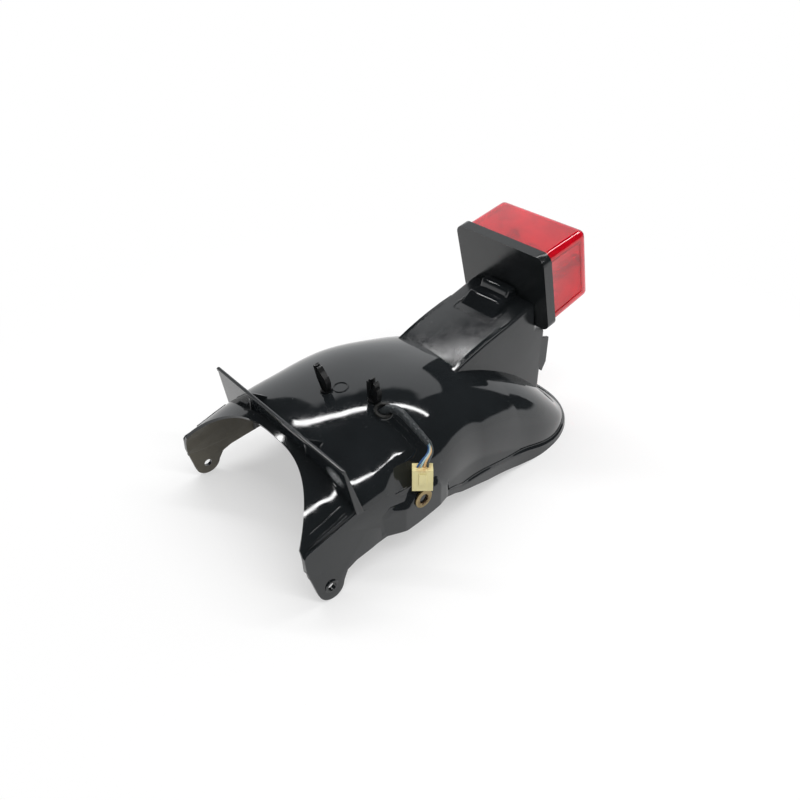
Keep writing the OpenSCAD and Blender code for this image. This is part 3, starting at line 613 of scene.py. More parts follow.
@dataclass
class Palette:
    """Builds each finish once."""

    made: dict[str, bpy.types.Material] = field(default_factory=dict)

    def coords(self, tree: bpy.types.NodeTree) -> bpy.types.NodeSocket:
        """Object coordinates in metres."""
        return add(tree, "ShaderNodeTexCoord").outputs["Object"]

    def noise(self, tree: bpy.types.NodeTree, at: bpy.types.NodeSocket, size_mm: float,
              detail: float = 4.0, rough: float = 0.55) -> bpy.types.NodeSocket:
        """Noise of a real size.

        Args:
            tree: Where it is added.
            at: Coordinates.
            size_mm: Size of its cells.
            detail: Number of finer layers.
            rough: Weight of the finer layers.

        Returns:
            Its value.
        """
        node = add(tree, "ShaderNodeTexNoise", {"Vector": at, "Scale": 1 / (size_mm * MM), "Detail": detail,
                                                "Roughness": rough})
        return node.outputs["Fac"]

    def ramp(self, tree: bpy.types.NodeTree, value: bpy.types.NodeSocket, low: float, high: float,
             to: tuple[float, float] = (0.0, 1.0)) -> bpy.types.NodeSocket:
        """Stretches a value to a new range, clamped.

        Args:
            tree: Where it is added.
            value: The value.
            low: Start of its range.
            high: End of its range.
            to: The new range.

        Returns:
            The new value.
        """
        node = add(tree, "ShaderNodeMapRange", {"Value": value, "From Min": low, "From Max": high,
                                                "To Min": to[0], "To Max": to[1]}, clamp=True)
        return node.outputs["Result"]

    def math(self, tree: bpy.types.NodeTree, kind: str, a: object, b: object) -> bpy.types.NodeSocket:
        """One step of arithmetic."""
        return add(tree, "ShaderNodeMath", {0: a, 1: b}, operation=kind).outputs[0]

    def get(self, name: str, finish: Finish, wear_light_patches: Sequence[WearAndLightPatch] = ()) -> bpy.types.Material:
        """The material of one finish.

        Args:
            name: Name of the material, a slot of the record or a variant.
            finish: Its look.
            wear_light_patches: Rubbed places, and patches of painted highlight and painted shade.

        Returns:
            The material.
        """
        if name in self.made:
            return self.made[name]
        mat = bpy.data.materials.new(name)
        mat.use_nodes = True
        tree = mat.node_tree
        tree.nodes.clear()
        at = self.coords(tree)
        patch = self.ramp(tree, self.noise(tree, at, 14.0, 6.0, 0.65), 0.62 - finish.dirt, 0.80)
        streak_map = add(tree, "ShaderNodeMapping", {"Vector": at, "Scale": (1.0, 0.18, 1.0)})
        streak = self.noise(tree, streak_map.outputs[0], 1.1, 3.0, 0.7)
        marks = self.ramp(tree, streak, 0.66, 0.74)
        wear_and_painted_light = self.math(tree, "MULTIPLY", patch, marks)
        # Each patch is a rubbed place, a painted highlight or painted shade, drawn in the finish's scuff colour.
        for wear_light_patch in wear_light_patches:
            middle = to_frame(*wear_light_patch.middle)
            away = add(tree, "ShaderNodeVectorMath", {0: at, 1: middle}, operation="SUBTRACT").outputs[0]
            scaled = add(tree, "ShaderNodeVectorMath",
                         {0: away, 1: tuple(1 / (r * MM) for r in wear_light_patch.radii)}, operation="MULTIPLY").outputs[0]
            length = add(tree, "ShaderNodeVectorMath", {0: scaled}, operation="LENGTH").outputs["Value"]
            broken = self.ramp(tree, self.noise(tree, at, 2.2, 5.0, 0.7), 0.38, 0.56)
            spot = self.math(tree, "MULTIPLY", self.ramp(tree, length, 1.0, 0.4, (0.0, wear_light_patch.strength)), broken)
            wear_and_painted_light = self.math(tree, "MAXIMUM", wear_and_painted_light, spot)
        tone = self.ramp(tree, self.noise(tree, at, finish.wave_mm * 1.7, 5.0), 0.3, 0.7, (0.85, 1.15))
        base = add(tree, "ShaderNodeVectorMath", {0: linear(finish.colour)[:3], 3: tone}, operation="SCALE")
        colour = add(tree, "ShaderNodeMix", {"Factor": wear_and_painted_light, 6: base.outputs[0], 7: linear(finish.wear_and_painted_light)},
                     data_type="RGBA")
        rough = self.ramp(tree, self.noise(tree, at, 9.0, 8.0, 0.6), 0.35, 0.7, finish.rough)
        rough = self.math(tree, "ADD", rough, self.math(tree, "MULTIPLY", wear_and_painted_light, 0.35))
        fine = add(tree, "ShaderNodeBump", {"Height": self.noise(tree, at, finish.grain_mm, 2.0),
                                            "Strength": finish.grain, "Distance": finish.grain_mm * MM})
        soft = add(tree, "ShaderNodeBump", {"Height": self.noise(tree, at, finish.wave_mm, 1.0),
                                            "Strength": finish.wave, "Distance": finish.wave_mm * MM,
                                            "Normal": fine.outputs[0]})
        shader = add(tree, "ShaderNodeBsdfPrincipled",
                     {"Base Color": colour.outputs[2], "Roughness": rough, "Normal": soft.outputs[0],
                      "Metallic": finish.metal, "IOR": finish.ior, "Coat Weight": finish.coat,
                      "Transmission Weight": finish.through})
        out = add(tree, "ShaderNodeOutputMaterial", {"Surface": shader.outputs[0]})
        out.is_active_output = True
        self.made[name] = mat
        return mat


FINISHES = {
    # Injection moulded, glossy polypropylene: nearly black and cool, with long sharp highlights.
    Slot.BLACK: Finish("1c1f21", rough=(0.04, 0.1), grain=0.01, wave=0.006, wave_mm=22.0, dirt=0.06,
                       wear_and_painted_light="a2a5a6", ior=1.56),
    # Moulded ABS of the lamp base: duller, so its faces stay even.
    Slot.LAMP: Finish("1c1f20", rough=(0.14, 0.26), grain=0.03, wave=0.006, dirt=0.1, wear_and_painted_light="707272"),
    # Moulded nylon of the push-in clips: a soft, broad sheen.
    Slot.CLIP: Finish("101112", rough=(0.28, 0.4), grain=0.05, dirt=0.08),
    # Zinc plated steel with yellow passivation: tan metal with brown stains.
    Slot.PLATED: Finish("94835f", rough=(0.3, 0.5), metal=1.0, dirt=0.35, wear_and_painted_light="4a3128"),
    # Bright zinc plated steel of small fasteners: light grey metal.
    Slot.STEEL: Finish("b9bcc0", rough=(0.2, 0.35), metal=1.0, dirt=0.1, wear_and_painted_light="7c7468"),
    # Moulded red acrylic: deep red, clear enough to show the bulb, with a polished face.
    Slot.LENS: Finish("ec1c3b", rough=(0.05, 0.1), grain=0.008, wave=0.004, dirt=0.02, through=0.8,
                      coat=0.35, wear_and_painted_light="e8a0a6", ior=1.49),
    # Moulded clear acrylic of the plate window.
    Slot.CLEAR: Finish("e9efee", rough=(0.06, 0.12), dirt=0.02, through=0.95, ior=1.49),
    # Blown soda-lime glass of the bulb: clear with a bright rim.
    Slot.BULB: Finish("f2f4f2", rough=(0.02, 0.04), dirt=0.0, through=1.0, ior=1.45),
    # Aluminised plastic of the reflector: a slightly blurred mirror.
    Slot.REFLECTOR: Finish("d6d8dc", rough=(0.12, 0.22), metal=1.0, dirt=0.02),
    # Stamped brass of contacts: warm metal, darker where tarnished.
    Slot.BRASS: Finish("b98f4a", rough=(0.25, 0.4), metal=1.0, dirt=0.1, wear_and_painted_light="6d5433"),
    # Moulded rubber of rings and seals: dark, matt and a little dusty.
    Slot.RUBBER: Finish("1a1a18", rough=(0.55, 0.7), grain=0.08, dirt=0.12, wear_and_painted_light="55554a"),
    # Wrapped PVC sleeve: soft dents that break its highlight.
    Slot.SLEEVE: Finish("363a3c", rough=(0.26, 0.42), grain=0.35, grain_mm=0.9, wave=0.5, wave_mm=3.4, dirt=0.08),
    # Extruded PVC of the four wires: even colour with a satin line of light.
    Slot.BLUE: Finish("2f5584", rough=(0.3, 0.42), grain=0.02, dirt=0.02),
    Slot.LIGHT: Finish("9db9c0", rough=(0.3, 0.42), grain=0.02, dirt=0.02),
    Slot.YELLOW: Finish("d3ab78", rough=(0.3, 0.42), grain=0.02, dirt=0.02),
    Slot.GREY: Finish("454b4c", rough=(0.3, 0.42), grain=0.02, dirt=0.02),
    # Moulded natural nylon of the plug: ivory, with brown painted shade at its top.
    Slot.IVORY: Finish("d9cf98", rough=(0.32, 0.45), grain=0.03, dirt=0.05, wear_and_painted_light="b5833f"),
}

# The moulding's inner side, which was never polished: brownish with dried dust.
INSIDE = Finish("524e43", wear_and_painted_light="948b78", rough=(0.4, 0.6), grain=0.05, dirt=0.35)
# The moulding at the tower, where it came duller out of the mould; its pale scuff colour also paints a highlight at the
# tower's foot.
MATT = Finish("1c1f21", wear_and_painted_light="6d6f70", rough=(0.16, 0.27), grain=0.03, wave=0.01, dirt=0.08, ior=1.56)

WEAR_AND_SHADE_PATCHES = {
    Slot.BLACK: [WearAndLightPatch((78, 24, 95), (12, 9, 9), 1.0), WearAndLightPatch((60, 25, 72), (9, 8, 10), 0.6)],
    # Painted shade: a brown patch at the top of the plug.
    Slot.IVORY: [WearAndLightPatch((102, 91, 85), (9, 9, 4.5), 0.75)],
    Slot.PLATED: [WearAndLightPatch((103.6, 91.8, 50), (7, 8, 7), 0.95), WearAndLightPatch((-103.6, 91.8, 50), (7, 8, 7), 0.95)],
}

NODE_SLOTS = {
    "side_collar_right": Slot.PLATED, "side_collar_left": Slot.PLATED, "crest_clip": Slot.CLIP,
    "side_clip": Slot.CLIP, "outlet_grommet": Slot.RUBBER, "lamp_base": Slot.LAMP, "lamp_studs": Slot.STEEL,
    "lamp_stud_washers": Slot.STEEL, "lamp_stud_nuts": Slot.STEEL, "lens_gasket": Slot.RUBBER,
    "plate_window": Slot.CLEAR, "lens_screws": Slot.STEEL, "lens_screw_seals": Slot.RUBBER,
    "reflector": Slot.REFLECTOR, "bulb_socket": Slot.STEEL, "contact_disc": Slot.BRASS,
    "contact_spring": Slot.STEEL, "tail_bulb": Slot.BULB, "lamp_grommet": Slot.RUBBER, "lamp_lead": Slot.SLEEVE,
    "connector_housing": Slot.IVORY, "connector_terminals": Slot.BRASS,
}
NODE_ROUNDING = {
    "lamp_base": 1.1, "crest_clip": 0.4, "side_clip": 0.4, "outlet_grommet": 0.5,
    "connector_housing": 0.35, "side_collar_right": 0.3, "side_collar_left": 0.3, "lens_screws": 0.2,
    "lamp_stud_nuts": 0.3, "lamp_studs": 0.3, "lamp_grommet": 0.4,
}
CLIP_SEAT = ((3.0, -1.5), (3.0, 0.4), (3.3, 0.7), (5.0, 0.7), (5.5, 0.2), (5.9, -1.5))


@dataclass(frozen=True)
class LampSeat:
    """Where the tail lamp sits, in millimetres and degrees."""

    y: float = 271.0
    z: float = 188.4
    lean: float = 14.0

    def face(self, z: float) -> float:
        """Front face of the lamp base at a height."""
        return self.y + (self.z - z) * math.tan(math.radians(self.lean))

    def place(self) -> Matrix:
        """Matrix from millimetres on the lamp to the frame."""
        return (Matrix.Translation(to_frame(0, self.y, self.z))
                @ Matrix.Rotation(math.radians(self.lean), 4, "X") @ Matrix.Scale(MM, 4))


@dataclass
class Assembly:
    """What every sub-assembly shares.

    Attributes:
        nodes: Objects of the solid model by name.
        kit: Makes the meshes.
        palette: Makes the materials.
        form: Skin of the arch.
    """

    nodes: dict[str, bpy.types.Object]
    kit: MeshKit
    palette: Palette
    form: ArchForm

    def material(self, slot: Slot) -> bpy.types.Material:
        """The material of a slot, with its scuffs and its painted shade on it."""
        return self.palette.get(slot.value, FINISHES[slot], WEAR_AND_SHADE_PATCHES.get(slot, []))

    def finish(self, obj: bpy.types.Object, slot: Slot = Slot.BLACK) -> None:
        """Gives a new piece its material and its place on the body, and reports it.

        Args:
            obj: The piece.
            slot: Its material slot.
        """
        obj.data.materials.clear()
        obj.data.materials.append(self.material(slot))
        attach(obj, "root")
        LOG.info("%s: %s", obj.name, slot.value)

    def moulding(self, name: str, outline: Outline, lift: Lift, width: float, round_mm: float,
                 segments: int = 3, both: bool = False) -> bpy.types.Object:
        """A rounded piece of the black moulding, drawn from the side.

        Args:
            name: Name of the piece.
            outline: Its corners as (y, z), in millimetres.
            lift: Turns (y, z, w) into a point of the frame.
            width: Its width across.
            round_mm: Radius of its edges.
            segments: Segments of the rounding.
            both: Whether it is repeated on the other side.

        Returns:
            The piece.
        """
        piece = self.kit.prism(name, outline, lift, width, round_mm, segments)
        if both:
            self.kit.mirror(piece)
        self.finish(piece)
        return piece

    @staticmethod
    def sideways(left: float) -> Lift:
        """Places an outline seen from the side, from a distance across."""
        return lambda u, v, w: to_frame(left + w, u, v)

    @staticmethod
    def across(x: float, y: float, z: float) -> Matrix:
        """Places a turned piece with its axis along X, outside up."""
        turn = Matrix(((0, 0, 1), (0, 1, 0), (-1, 0, 0))).to_4x4()
        return Matrix.Translation(to_frame(x, y, z)) @ turn @ Matrix.Scale(MM, 4)

    def on_roof(self, x: float, y: float, step: float = 0.5) -> Matrix:
        """Places a turned piece square on the roof.

        Args:
            x: Distance across.
            y: Distance along.
            step: Distance over which the slope is taken.

        Returns:
            Matrix from millimetres on the piece to the frame.
        """
        def height(a: float, b: float) -> float:
            """Height of the roof over a point."""
            return float(self.form.roof_z(np.array(float(a)), np.array(float(b))))

        dx = (height(x + step, y) - height(x - step, y)) / (2 * step)
        dy = (height(x, y + step) - height(x, y - step)) / (2 * step)
        turn = Vector((-dx, -dy, 1)).normalized().to_track_quat("Z", "Y").to_matrix().to_4x4()
        return Matrix.Translation(to_frame(x, y, height(x, y))) @ turn @ Matrix.Scale(MM, 4)


@dataclass
class Harness(Assembly):
    """Sleeve and four wires between the outlet and the plug.

    Attributes:
        route: Middle line of the sleeve, from the outlet.
        sleeve_radius: Radius of the sleeve.
        sleeve_taper: Share of that radius at its two ends.
        wire_radius: Radius of a wire.
        wires: Node and slot of each wire.
        plug: Middle of the plug.
        plug_half: Half its height.
        plug_turn: Its turn about the vertical, in degrees.
        pitch: Distance between two ways of the plug.
        gather: Distance between two wires just over it.
        depth: How far a wire goes into it.
    """

    route: tuple[Point, ...] = SLEEVE_ROUTE
    sleeve_radius: float = 3.35
    sleeve_taper: tuple[float, float] = (1.12, 0.8)
    wire_radius: float = 0.85
    wires: tuple[tuple[str, Slot], ...] = (("wire_blue", Slot.BLUE), ("wire_light_blue", Slot.LIGHT),
                                           ("wire_yellow", Slot.YELLOW), ("wire_grey", Slot.GREY))
    plug: Point = (102, 91, 74)
    plug_half: float = 10.5
    plug_turn: float = 50.3
    pitch: float = 2.7
    gather: float = 1.9
    depth: float = 3.0

    def build(self) -> None:
        """Builds the cords."""
        points = [to_frame(*p) for p in self.route]
        sleeve = self.kit.tube("harness_sleeve_soft", points, self.sleeve_radius, 6, self.sleeve_taper)
        self.finish(sleeve, Slot.SLEEVE)
        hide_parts("harness_sleeve")
        for k, (node, slot) in enumerate(self.wires):
            wire = self.kit.tube(node + "_soft", [to_frame(*p) for p in self.soften(self.wire_route(k))],
                                 self.wire_radius)
            self.finish(wire, slot)
            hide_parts(node)

    @staticmethod
    def soften(points: Sequence[Point]) -> list[Point]:
        """Cuts the corners of a route.

        Args:
            points: The route.

        Returns:
            A smoother route with the same ends.
        """
        route = [np.array(p, float) for p in points]
        cut = [route[0]]
        for a, b in zip(route, route[1:]):
            cut += [0.75 * a + 0.25 * b, 0.25 * a + 0.75 * b]
        return [tuple(p) for p in (*cut, route[-1])]

    def wire_route(self, k: int) -> list[Point]:
        """Route of one wire from the sleeve to the plug.

        Args:
            k: Number of the wire, from 0.

        Returns:
            Points of its middle line, the last ones inside the plug.
        """
        turn, q = math.radians(self.plug_turn), k - 1.5
        start, plug = np.array(self.route[-1]), np.array(self.plug)
        step, near = self.pitch * q, self.gather * q
        end = plug + np.array([step * math.cos(turn), step * math.sin(turn), self.plug_half])
        above = plug + np.array([near * math.cos(turn), near * math.sin(turn), self.plug_half])
        return [tuple(start + (-0.5 + q * 0.4, 0.2 + q * 0.7, (k % 2) * 1.4)),
                tuple(start + (2.8 + q * 0.5, -0.6 + q * 0.7, -2.2)),
                tuple(start + (5.6 + q * 0.7, -3.6 + q, -4.4)),
                (above[0] - 0.9, above[1] + 3.2, above[2] + 3.4), (end[0], end[1], end[2] + 0.2),
                (end[0], end[1], end[2] - self.depth)]


@dataclass
class Arch(Assembly):
    """The arch as one fine grid, and two thin beads round its tail.

    Attributes:
        rows: Grid rows of rim, body and tail.
        cols: Grid columns of roof, wall and lip, on one side.
        gap_half: Half width of the opening under the tower.
        gap_y: Front and rear of that opening.
        bead_start: Station at which the beads start.
        beads: Name, column, shift inwards and radius of each bead.
    """

    rows: tuple[int, int, int] = (34, 112, 54)
    cols: tuple[int, int, int] = (62, 20, 11)
    gap_half: float = 35.0
    gap_y: tuple[float, float] = (200.0, 298.0)
    bead_start: float = 1.37
    beads: tuple[tuple[str, float, float, float], ...] = (("lip_bead", 14.1, 0.2, 0.85),
                                                          ("edge_bead", 15.9, 0.9, 0.95))

    def build(self) -> None:
        """Builds the arch and its beads."""
        self.skin()
        for name, column, inward, radius in self.beads:
            self.bead(name, column, inward, radius)

    def skin(self) -> None:
        """The arch with its wall, brownish and dusty on the inside."""
        rows = np.concatenate([np.linspace(0, 1, self.rows[0])[:-1], np.linspace(1, 2, self.rows[1])[:-1],
                               2 + np.linspace(0, 1, self.rows[2])])
        half = np.concatenate([np.linspace(0, 12, self.cols[0])[:-1], np.linspace(12, 14, self.cols[1])[:-1],
                               np.linspace(14, 16, self.cols[2])])
        cols = np.concatenate([-half[::-1], half[1:]])
        s, a = np.meshgrid(rows, cols, indexing="ij")
        x, y, z = self.form.skin(s, np.abs(a))
        x = np.sign(a) * x

        def keep(middle: Vector) -> bool:
            """Leaves the opening under the tower."""
            across, along = abs(middle.x) / MM, middle.y / MM + MID_Y
            return not (across < self.gap_half and self.gap_y[0] < along < self.gap_y[1])

        arch = self.kit.grid("arch", len(rows), len(cols), lambda i, j: to_frame(x[i, j], y[i, j], z[i, j]),
                             keep, Vector((0, 0, 1)), sharp=50)
        shell = self.kit.wall(arch, self.form.size.wall)
        shell.use_even_offset = False
        shell.material_offset = 1
        self.finish(arch)
        arch.data.materials.append(self.palette.get("black_plastic_inside", INSIDE))
        self.kit.bake(arch)
        for vert in arch.data.vertices:
            vert.co.z = max(vert.co.z, 0.0)
        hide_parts("fender_shell")

    def bead(self, name: str, column: float, inward: float, radius: float) -> None:
        """A thin bead from one flank round the tail to the other.

        Args:
            name: Name of the bead.
            column: Column of the skin that it follows.
            inward: How far it is set in.
            radius: Its radius.
        """
        path = np.concatenate([np.linspace(self.bead_start, 2, 26)[:-1], np.linspace(2, 3, 34)])
        x, y, z = self.form.skin(path, np.full(path.shape, column))
        rear = self.form.size.tail_end + 1.8
        right = [(max(a - inward, 0.0), min(b - inward * 0.4, rear), max(c, radius + 0.05))
                 for a, b, c in zip(x, y, z)]
        whole = right + [(-a, b, c) for a, b, c in right[-2::-1]]
        self.finish(self.kit.tube(name, [to_frame(*point) for point in whole], radius, 3))


@dataclass
class Ears(Assembly):
    """Leaning ear panels with their bolt rings and thin moulded ledges.

    Attributes:
        front: Corners in front of the bolt, as (y, z).
        rear: Corners behind it.
        bolt_z: Height of the bolt.
        corner: Radius of the corner round it.
        bore: Radius of its hole.
        outer_x: Outer face at the bolt.
        thick: Thickness of the panel.
        lean: Lean inwards for each millimetre of height.
        ring: Profile of the ring round the hole.
        ledges: Name, middle line and half width of each ledge.
        ledge_up: Way that the ledges' tops look.
        ledge_out: Way across the ledges.
        ledge_wall: Depth of a ledge.
    """

    front: Outline = ((-19, 51), (-19, 38.7), (-12.4, 11))
    rear: Outline = ((12.4, 11.5), (16.7, 19.1), (26, 23), (42, 25.5), (52, 28), (52, 58), (44, 64), (31, 66.6),
                     (-17, 53.4))
    bolt_z: float = 12.5
    corner: float = 12.2
    bore: float = 3.75
    outer_x: float = 100.0
    thick: float = 3.4
    lean: float = 0.1
    ring: Outline = ((3.75, -2), (3.75, 0.5), (4.0, 0.75), (5.6, 0.75), (6.1, 0.3), (6.1, -2))
    ledges: tuple[tuple[str, tuple[Point, ...], float], ...] = (
        ("ear_line_upper", ((87.4, -7.5, 63.9), (87.5, 2.8, 67.2), (87.2, 11.6, 70.5), (87.1, 22.4, 73.8)), 0.55),
        ("ear_line_middle", ((91.3, -11.0, 57.2), (91.4, 0.0, 61.2), (91.6, 12.6, 65.6), (91.0, 23.2, 69.2)), 0.3),
        ("ear_line_lower", ((92.6, -12.6, 55.3), (92.6, -1.2, 59.4), (92.8, 12.8, 63.8), (92.2, 23.6, 67.2)), 0.45))
    ledge_up: Point = (0.461, -0.266, 0.846)
    ledge_out: Point = (0.886, 0.143, -0.438)
    ledge_wall: float = 1.2

    def build(self) -> None:
        """Builds panels, rings and ledges."""
        round_bolt = [(self.corner * math.cos(math.radians(t)), self.bolt_z + self.corner * math.sin(math.radians(t)))
                      for t in range(188, 356, 8)]

        def lift(u: float, v: float, w: float) -> Vector:
            """Places the panel with its lean."""
            return to_frame(self.outer_x - (v - self.bolt_z) * self.lean - self.thick + w, u, v)

        ear = self.kit.prism("ear_panel", [*self.front, *round_bolt, *self.rear], lift, self.thick, 1.1, 4)
        self.kit.bake(ear)
        self.kit.cut(ear, self.kit.lathe("cutter", [(0.01, -8), (self.bore, -8), (self.bore, 8), (0.01, 8)],
                                         self.across(self.outer_x - 2, 0, self.bolt_z), 40))
        self.finish(ear)
        ear.data.materials.append(self.palette.get("black_plastic_inside", INSIDE))
        for face in ear.data.polygons:
            face.material_index = 1 if face.normal.x < -0.7 else 0
        self.kit.mirror(ear)
        ring = self.kit.lathe("ear_ring", self.ring, self.across(self.outer_x, 0, self.bolt_z))
        self.kit.mirror(ring)
        self.finish(ring)
        for name, line, wide in self.ledges:
            self.ledge(name, line, wide)

    def ledge(self, name: str, line: Sequence[Point], wide: float, count: int = 40) -> None:
        """A thin moulded ledge along a line of the ear, with a flat top.

        Args:
            name: Name of the ledge.
            line: Points of its middle line.
            wide: Half its width.
            count: Points along it.
        """
        over, out = Vector(self.ledge_up), Vector(self.ledge_out)
        points = [Vector(point) for point in line]

        def at(i: int, j: int) -> Vector:
            """A point of the ledge's top."""
            t = i / (count - 1) * (len(points) - 1)
            k = min(int(t), len(points) - 2)
            return to_frame(*(points[k].lerp(points[k + 1], t - k) + over * 0.5 + out * wide * (j - 1)))

        ledge = self.kit.grid(name, count, 3, at, outward=over)
        self.kit.wall(ledge, self.ledge_wall)
        self.kit.mirror(ledge)
        self.finish(ledge)


@dataclass
class SidePads(Assembly):
    """Raised pads round the collars.

    Attributes:
        lower: Lower outline as (y, z), on the arch's edge.
        upper: Upper outline.
        top: Height at which the sheet ends.
        below: How far the outline runs on under the edge.
        along: Where the face's height is given.
        face: Distance of the face from the middle, at those places.
        rise: Distance over which the pad rises from the arch.
        sheet: Thickness of the pad.
    """

    lower: Outline = ((52, 28), (58, 27.6), (69, 26), (77, 25.2), (87.5, 26.4), (103, 29.5), (113, 32), (122, 33.5),
                      (128, 36))
    upper: Outline = ((126, 50), (110, 61.5), (84, 62), (76, 54), (62, 56), (52, 50))
    top: float = 64.0
    below: float = 12.0
    along: tuple[float, ...] = (44, 57, 74.5, 112, 127, 131)
    face: tuple[float, ...] = (95.8, 98.1, 102, 102, 98.3, 95.8)
    rise: float = 7.0
    sheet: float = 2.4

    def build(self) -> None:
        """Builds both pads."""
        outline = np.array([(y, z - self.below) for y, z in self.lower] + list(self.upper))
        ys, share = np.linspace(50, 130, 110), np.linspace(0, 1, 60)
        y, v = np.meshgrid(ys, share, indexing="ij")
        z = mix(np.interp(y, *np.array(self.lower).T), self.top, v)
        inside = self.inside(outline, y, z)
        face = np.interp(y, self.along, self.face)
        start = self.form.crest_z(y) - self.form.bow(y) - self.form.drop(y)
        n = self.form.power(y)
        curl = (1 - np.clip((z - start) / self.form.drop(y), 0, 1) ** n) ** (1 / n)
        lift = np.maximum(face - self.form.wall_half(y), 0) * smooth(inside / self.rise + 0.1)
        x = self.form.wall_half(y) * curl + lift - 0.7 * (1 - smooth(inside / 1.5 + 0.6))
        pad = self.kit.grid("side_pad", len(ys), len(share), lambda i, j: to_frame(x[i, j], y[i, j], z[i, j]),
                            outward=Vector((1, 0, 0)), sharp=60)
        self.kit.wall(pad, self.sheet)
        self.kit.mirror(pad)
        self.finish(pad)

    @staticmethod
    def inside(outline: np.ndarray, u: np.ndarray, v: np.ndarray) -> np.ndarray:
        """Distance inside an outline, negative outside it.

        Args:
            outline: Corners, one in each row.
            u: First coordinate of the points.
            v: Second coordinate of the points.

        Returns:
            The distances.
        """
        best = np.full(u.shape, 1e9)
        within = np.zeros(u.shape, bool)
        for a, b in zip(outline, np.roll(outline, -1, axis=0)):
            d = b - a
            t = np.clip(((u - a[0]) * d[0] + (v - a[1]) * d[1]) / (d @ d), 0, 1)
            best = np.minimum(best, np.hypot(u - a[0] - t * d[0], v - a[1] - t * d[1]))
            crosses = (a[1] > v) != (b[1] > v)
            with np.errstate(divide="ignore", invalid="ignore"):
                edge = a[0] + (v - a[1]) / (b[1] - a[1]) * d[0]
            within ^= crosses & (u < edge)
        return np.where(within, best, -best)


@dataclass
class SplashPlate(Assembly):
    """Upright splash plate with its returns, rim and gussets.

    Attributes:
        lean: Lean of the plate to the rear, in degrees.
        top_y: Its top edge, along.
        top_z: Its top edge, in height.
        foot_z: Its foot, in height.
        half: Its half width at the top.
        spread: How much wider each side is at the foot.
        sheet: Its thickness.
        tilt: Tilt of the returns, in degrees.
        side: Outline of a return.
        rim: Outline of the rim.
        gusset: Outline of a gusset.
        gusset_x: Inner face of a gusset.
    """

    lean: float = 9.6
    top_y: float = 22.4
    top_z: float = 110.7
    foot_z: float = 66.0
    half: float = 92.5
    spread: float = 4.0
    sheet: float = 2.2
    tilt: float = 5.1
    side: Outline = ((22.9, 110.4), (24.6, 110.4), (36.9, 66.2), (31.0, 66.2))
    rim: Outline = ((21.7, 110.7), (25.1, 110.7), (25.5, 107.6), (22.2, 107.6))
    gusset: Outline = ((23.4, 109.4), (25.6, 109.4), (33, 104.5), (41.9, 98), (41.9, 92), (23.4, 90))
    gusset_x: float = 40.0

    def build(self) -> None:
        """Builds the plate and what stiffens it."""
        self.panel()
        tilt, top_z, left = math.tan(math.radians(self.tilt)), self.top_z, self.half - self.sheet
        self.moulding("plate_return", self.side, lambda u, v, w: to_frame(left + (top_z - v) * tilt + w, u, v),
                      self.sheet, 0.5, both=True)
        self.moulding("plate_rim", self.rim, lambda u, v, w: to_frame(w - self.half + 0.3, u, v),
                      2 * self.half - 0.6, 0.55)
        self.moulding("plate_gusset", self.gusset, self.sideways(self.gusset_x), 2.0, 0.4, both=True)

    def panel(self, cols: int = 90, rows: int = 14) -> None:
        """The plate, cut along its foot where it meets the arch.

        Args:
            cols: Points across.
            rows: Points down.
        """
        lean, half = math.radians(self.lean), self.half
        full = (self.top_z - self.foot_z) / math.cos(lean)

        def bottom(x: float) -> float:
            """Distance from the top edge down to the arch."""
            low = 0.0
            for step in range(200):
                low = full * step / 199
                px = abs(x) + self.spread * low / full
                if px < half + 4.5 and self.top_z - low * math.cos(lean) < float(
                        self.form.roof_z(np.array(px), np.array(self.top_y + low * math.sin(lean)))) - 1.2:
                    break
            return low

        xs = np.linspace(-half, half, cols)
        lows = [bottom(x) for x in xs]

        def at(i: int, j: int) -> Vector:
            """A point of the plate's front."""
            down = lows[i] * j / (rows - 1)
            x = xs[i] * (1 + self.spread / half * down / full)
            return to_frame(x, self.top_y + down * math.sin(lean), self.top_z - down * math.cos(lean))

        plate = self.kit.grid("splash_plate", cols, rows, at, outward=Vector((0, -1, 0)))
        self.kit.wall(plate, self.sheet)
        self.kit.bevel(plate, 0.45, 2, 50)
        self.finish(plate)


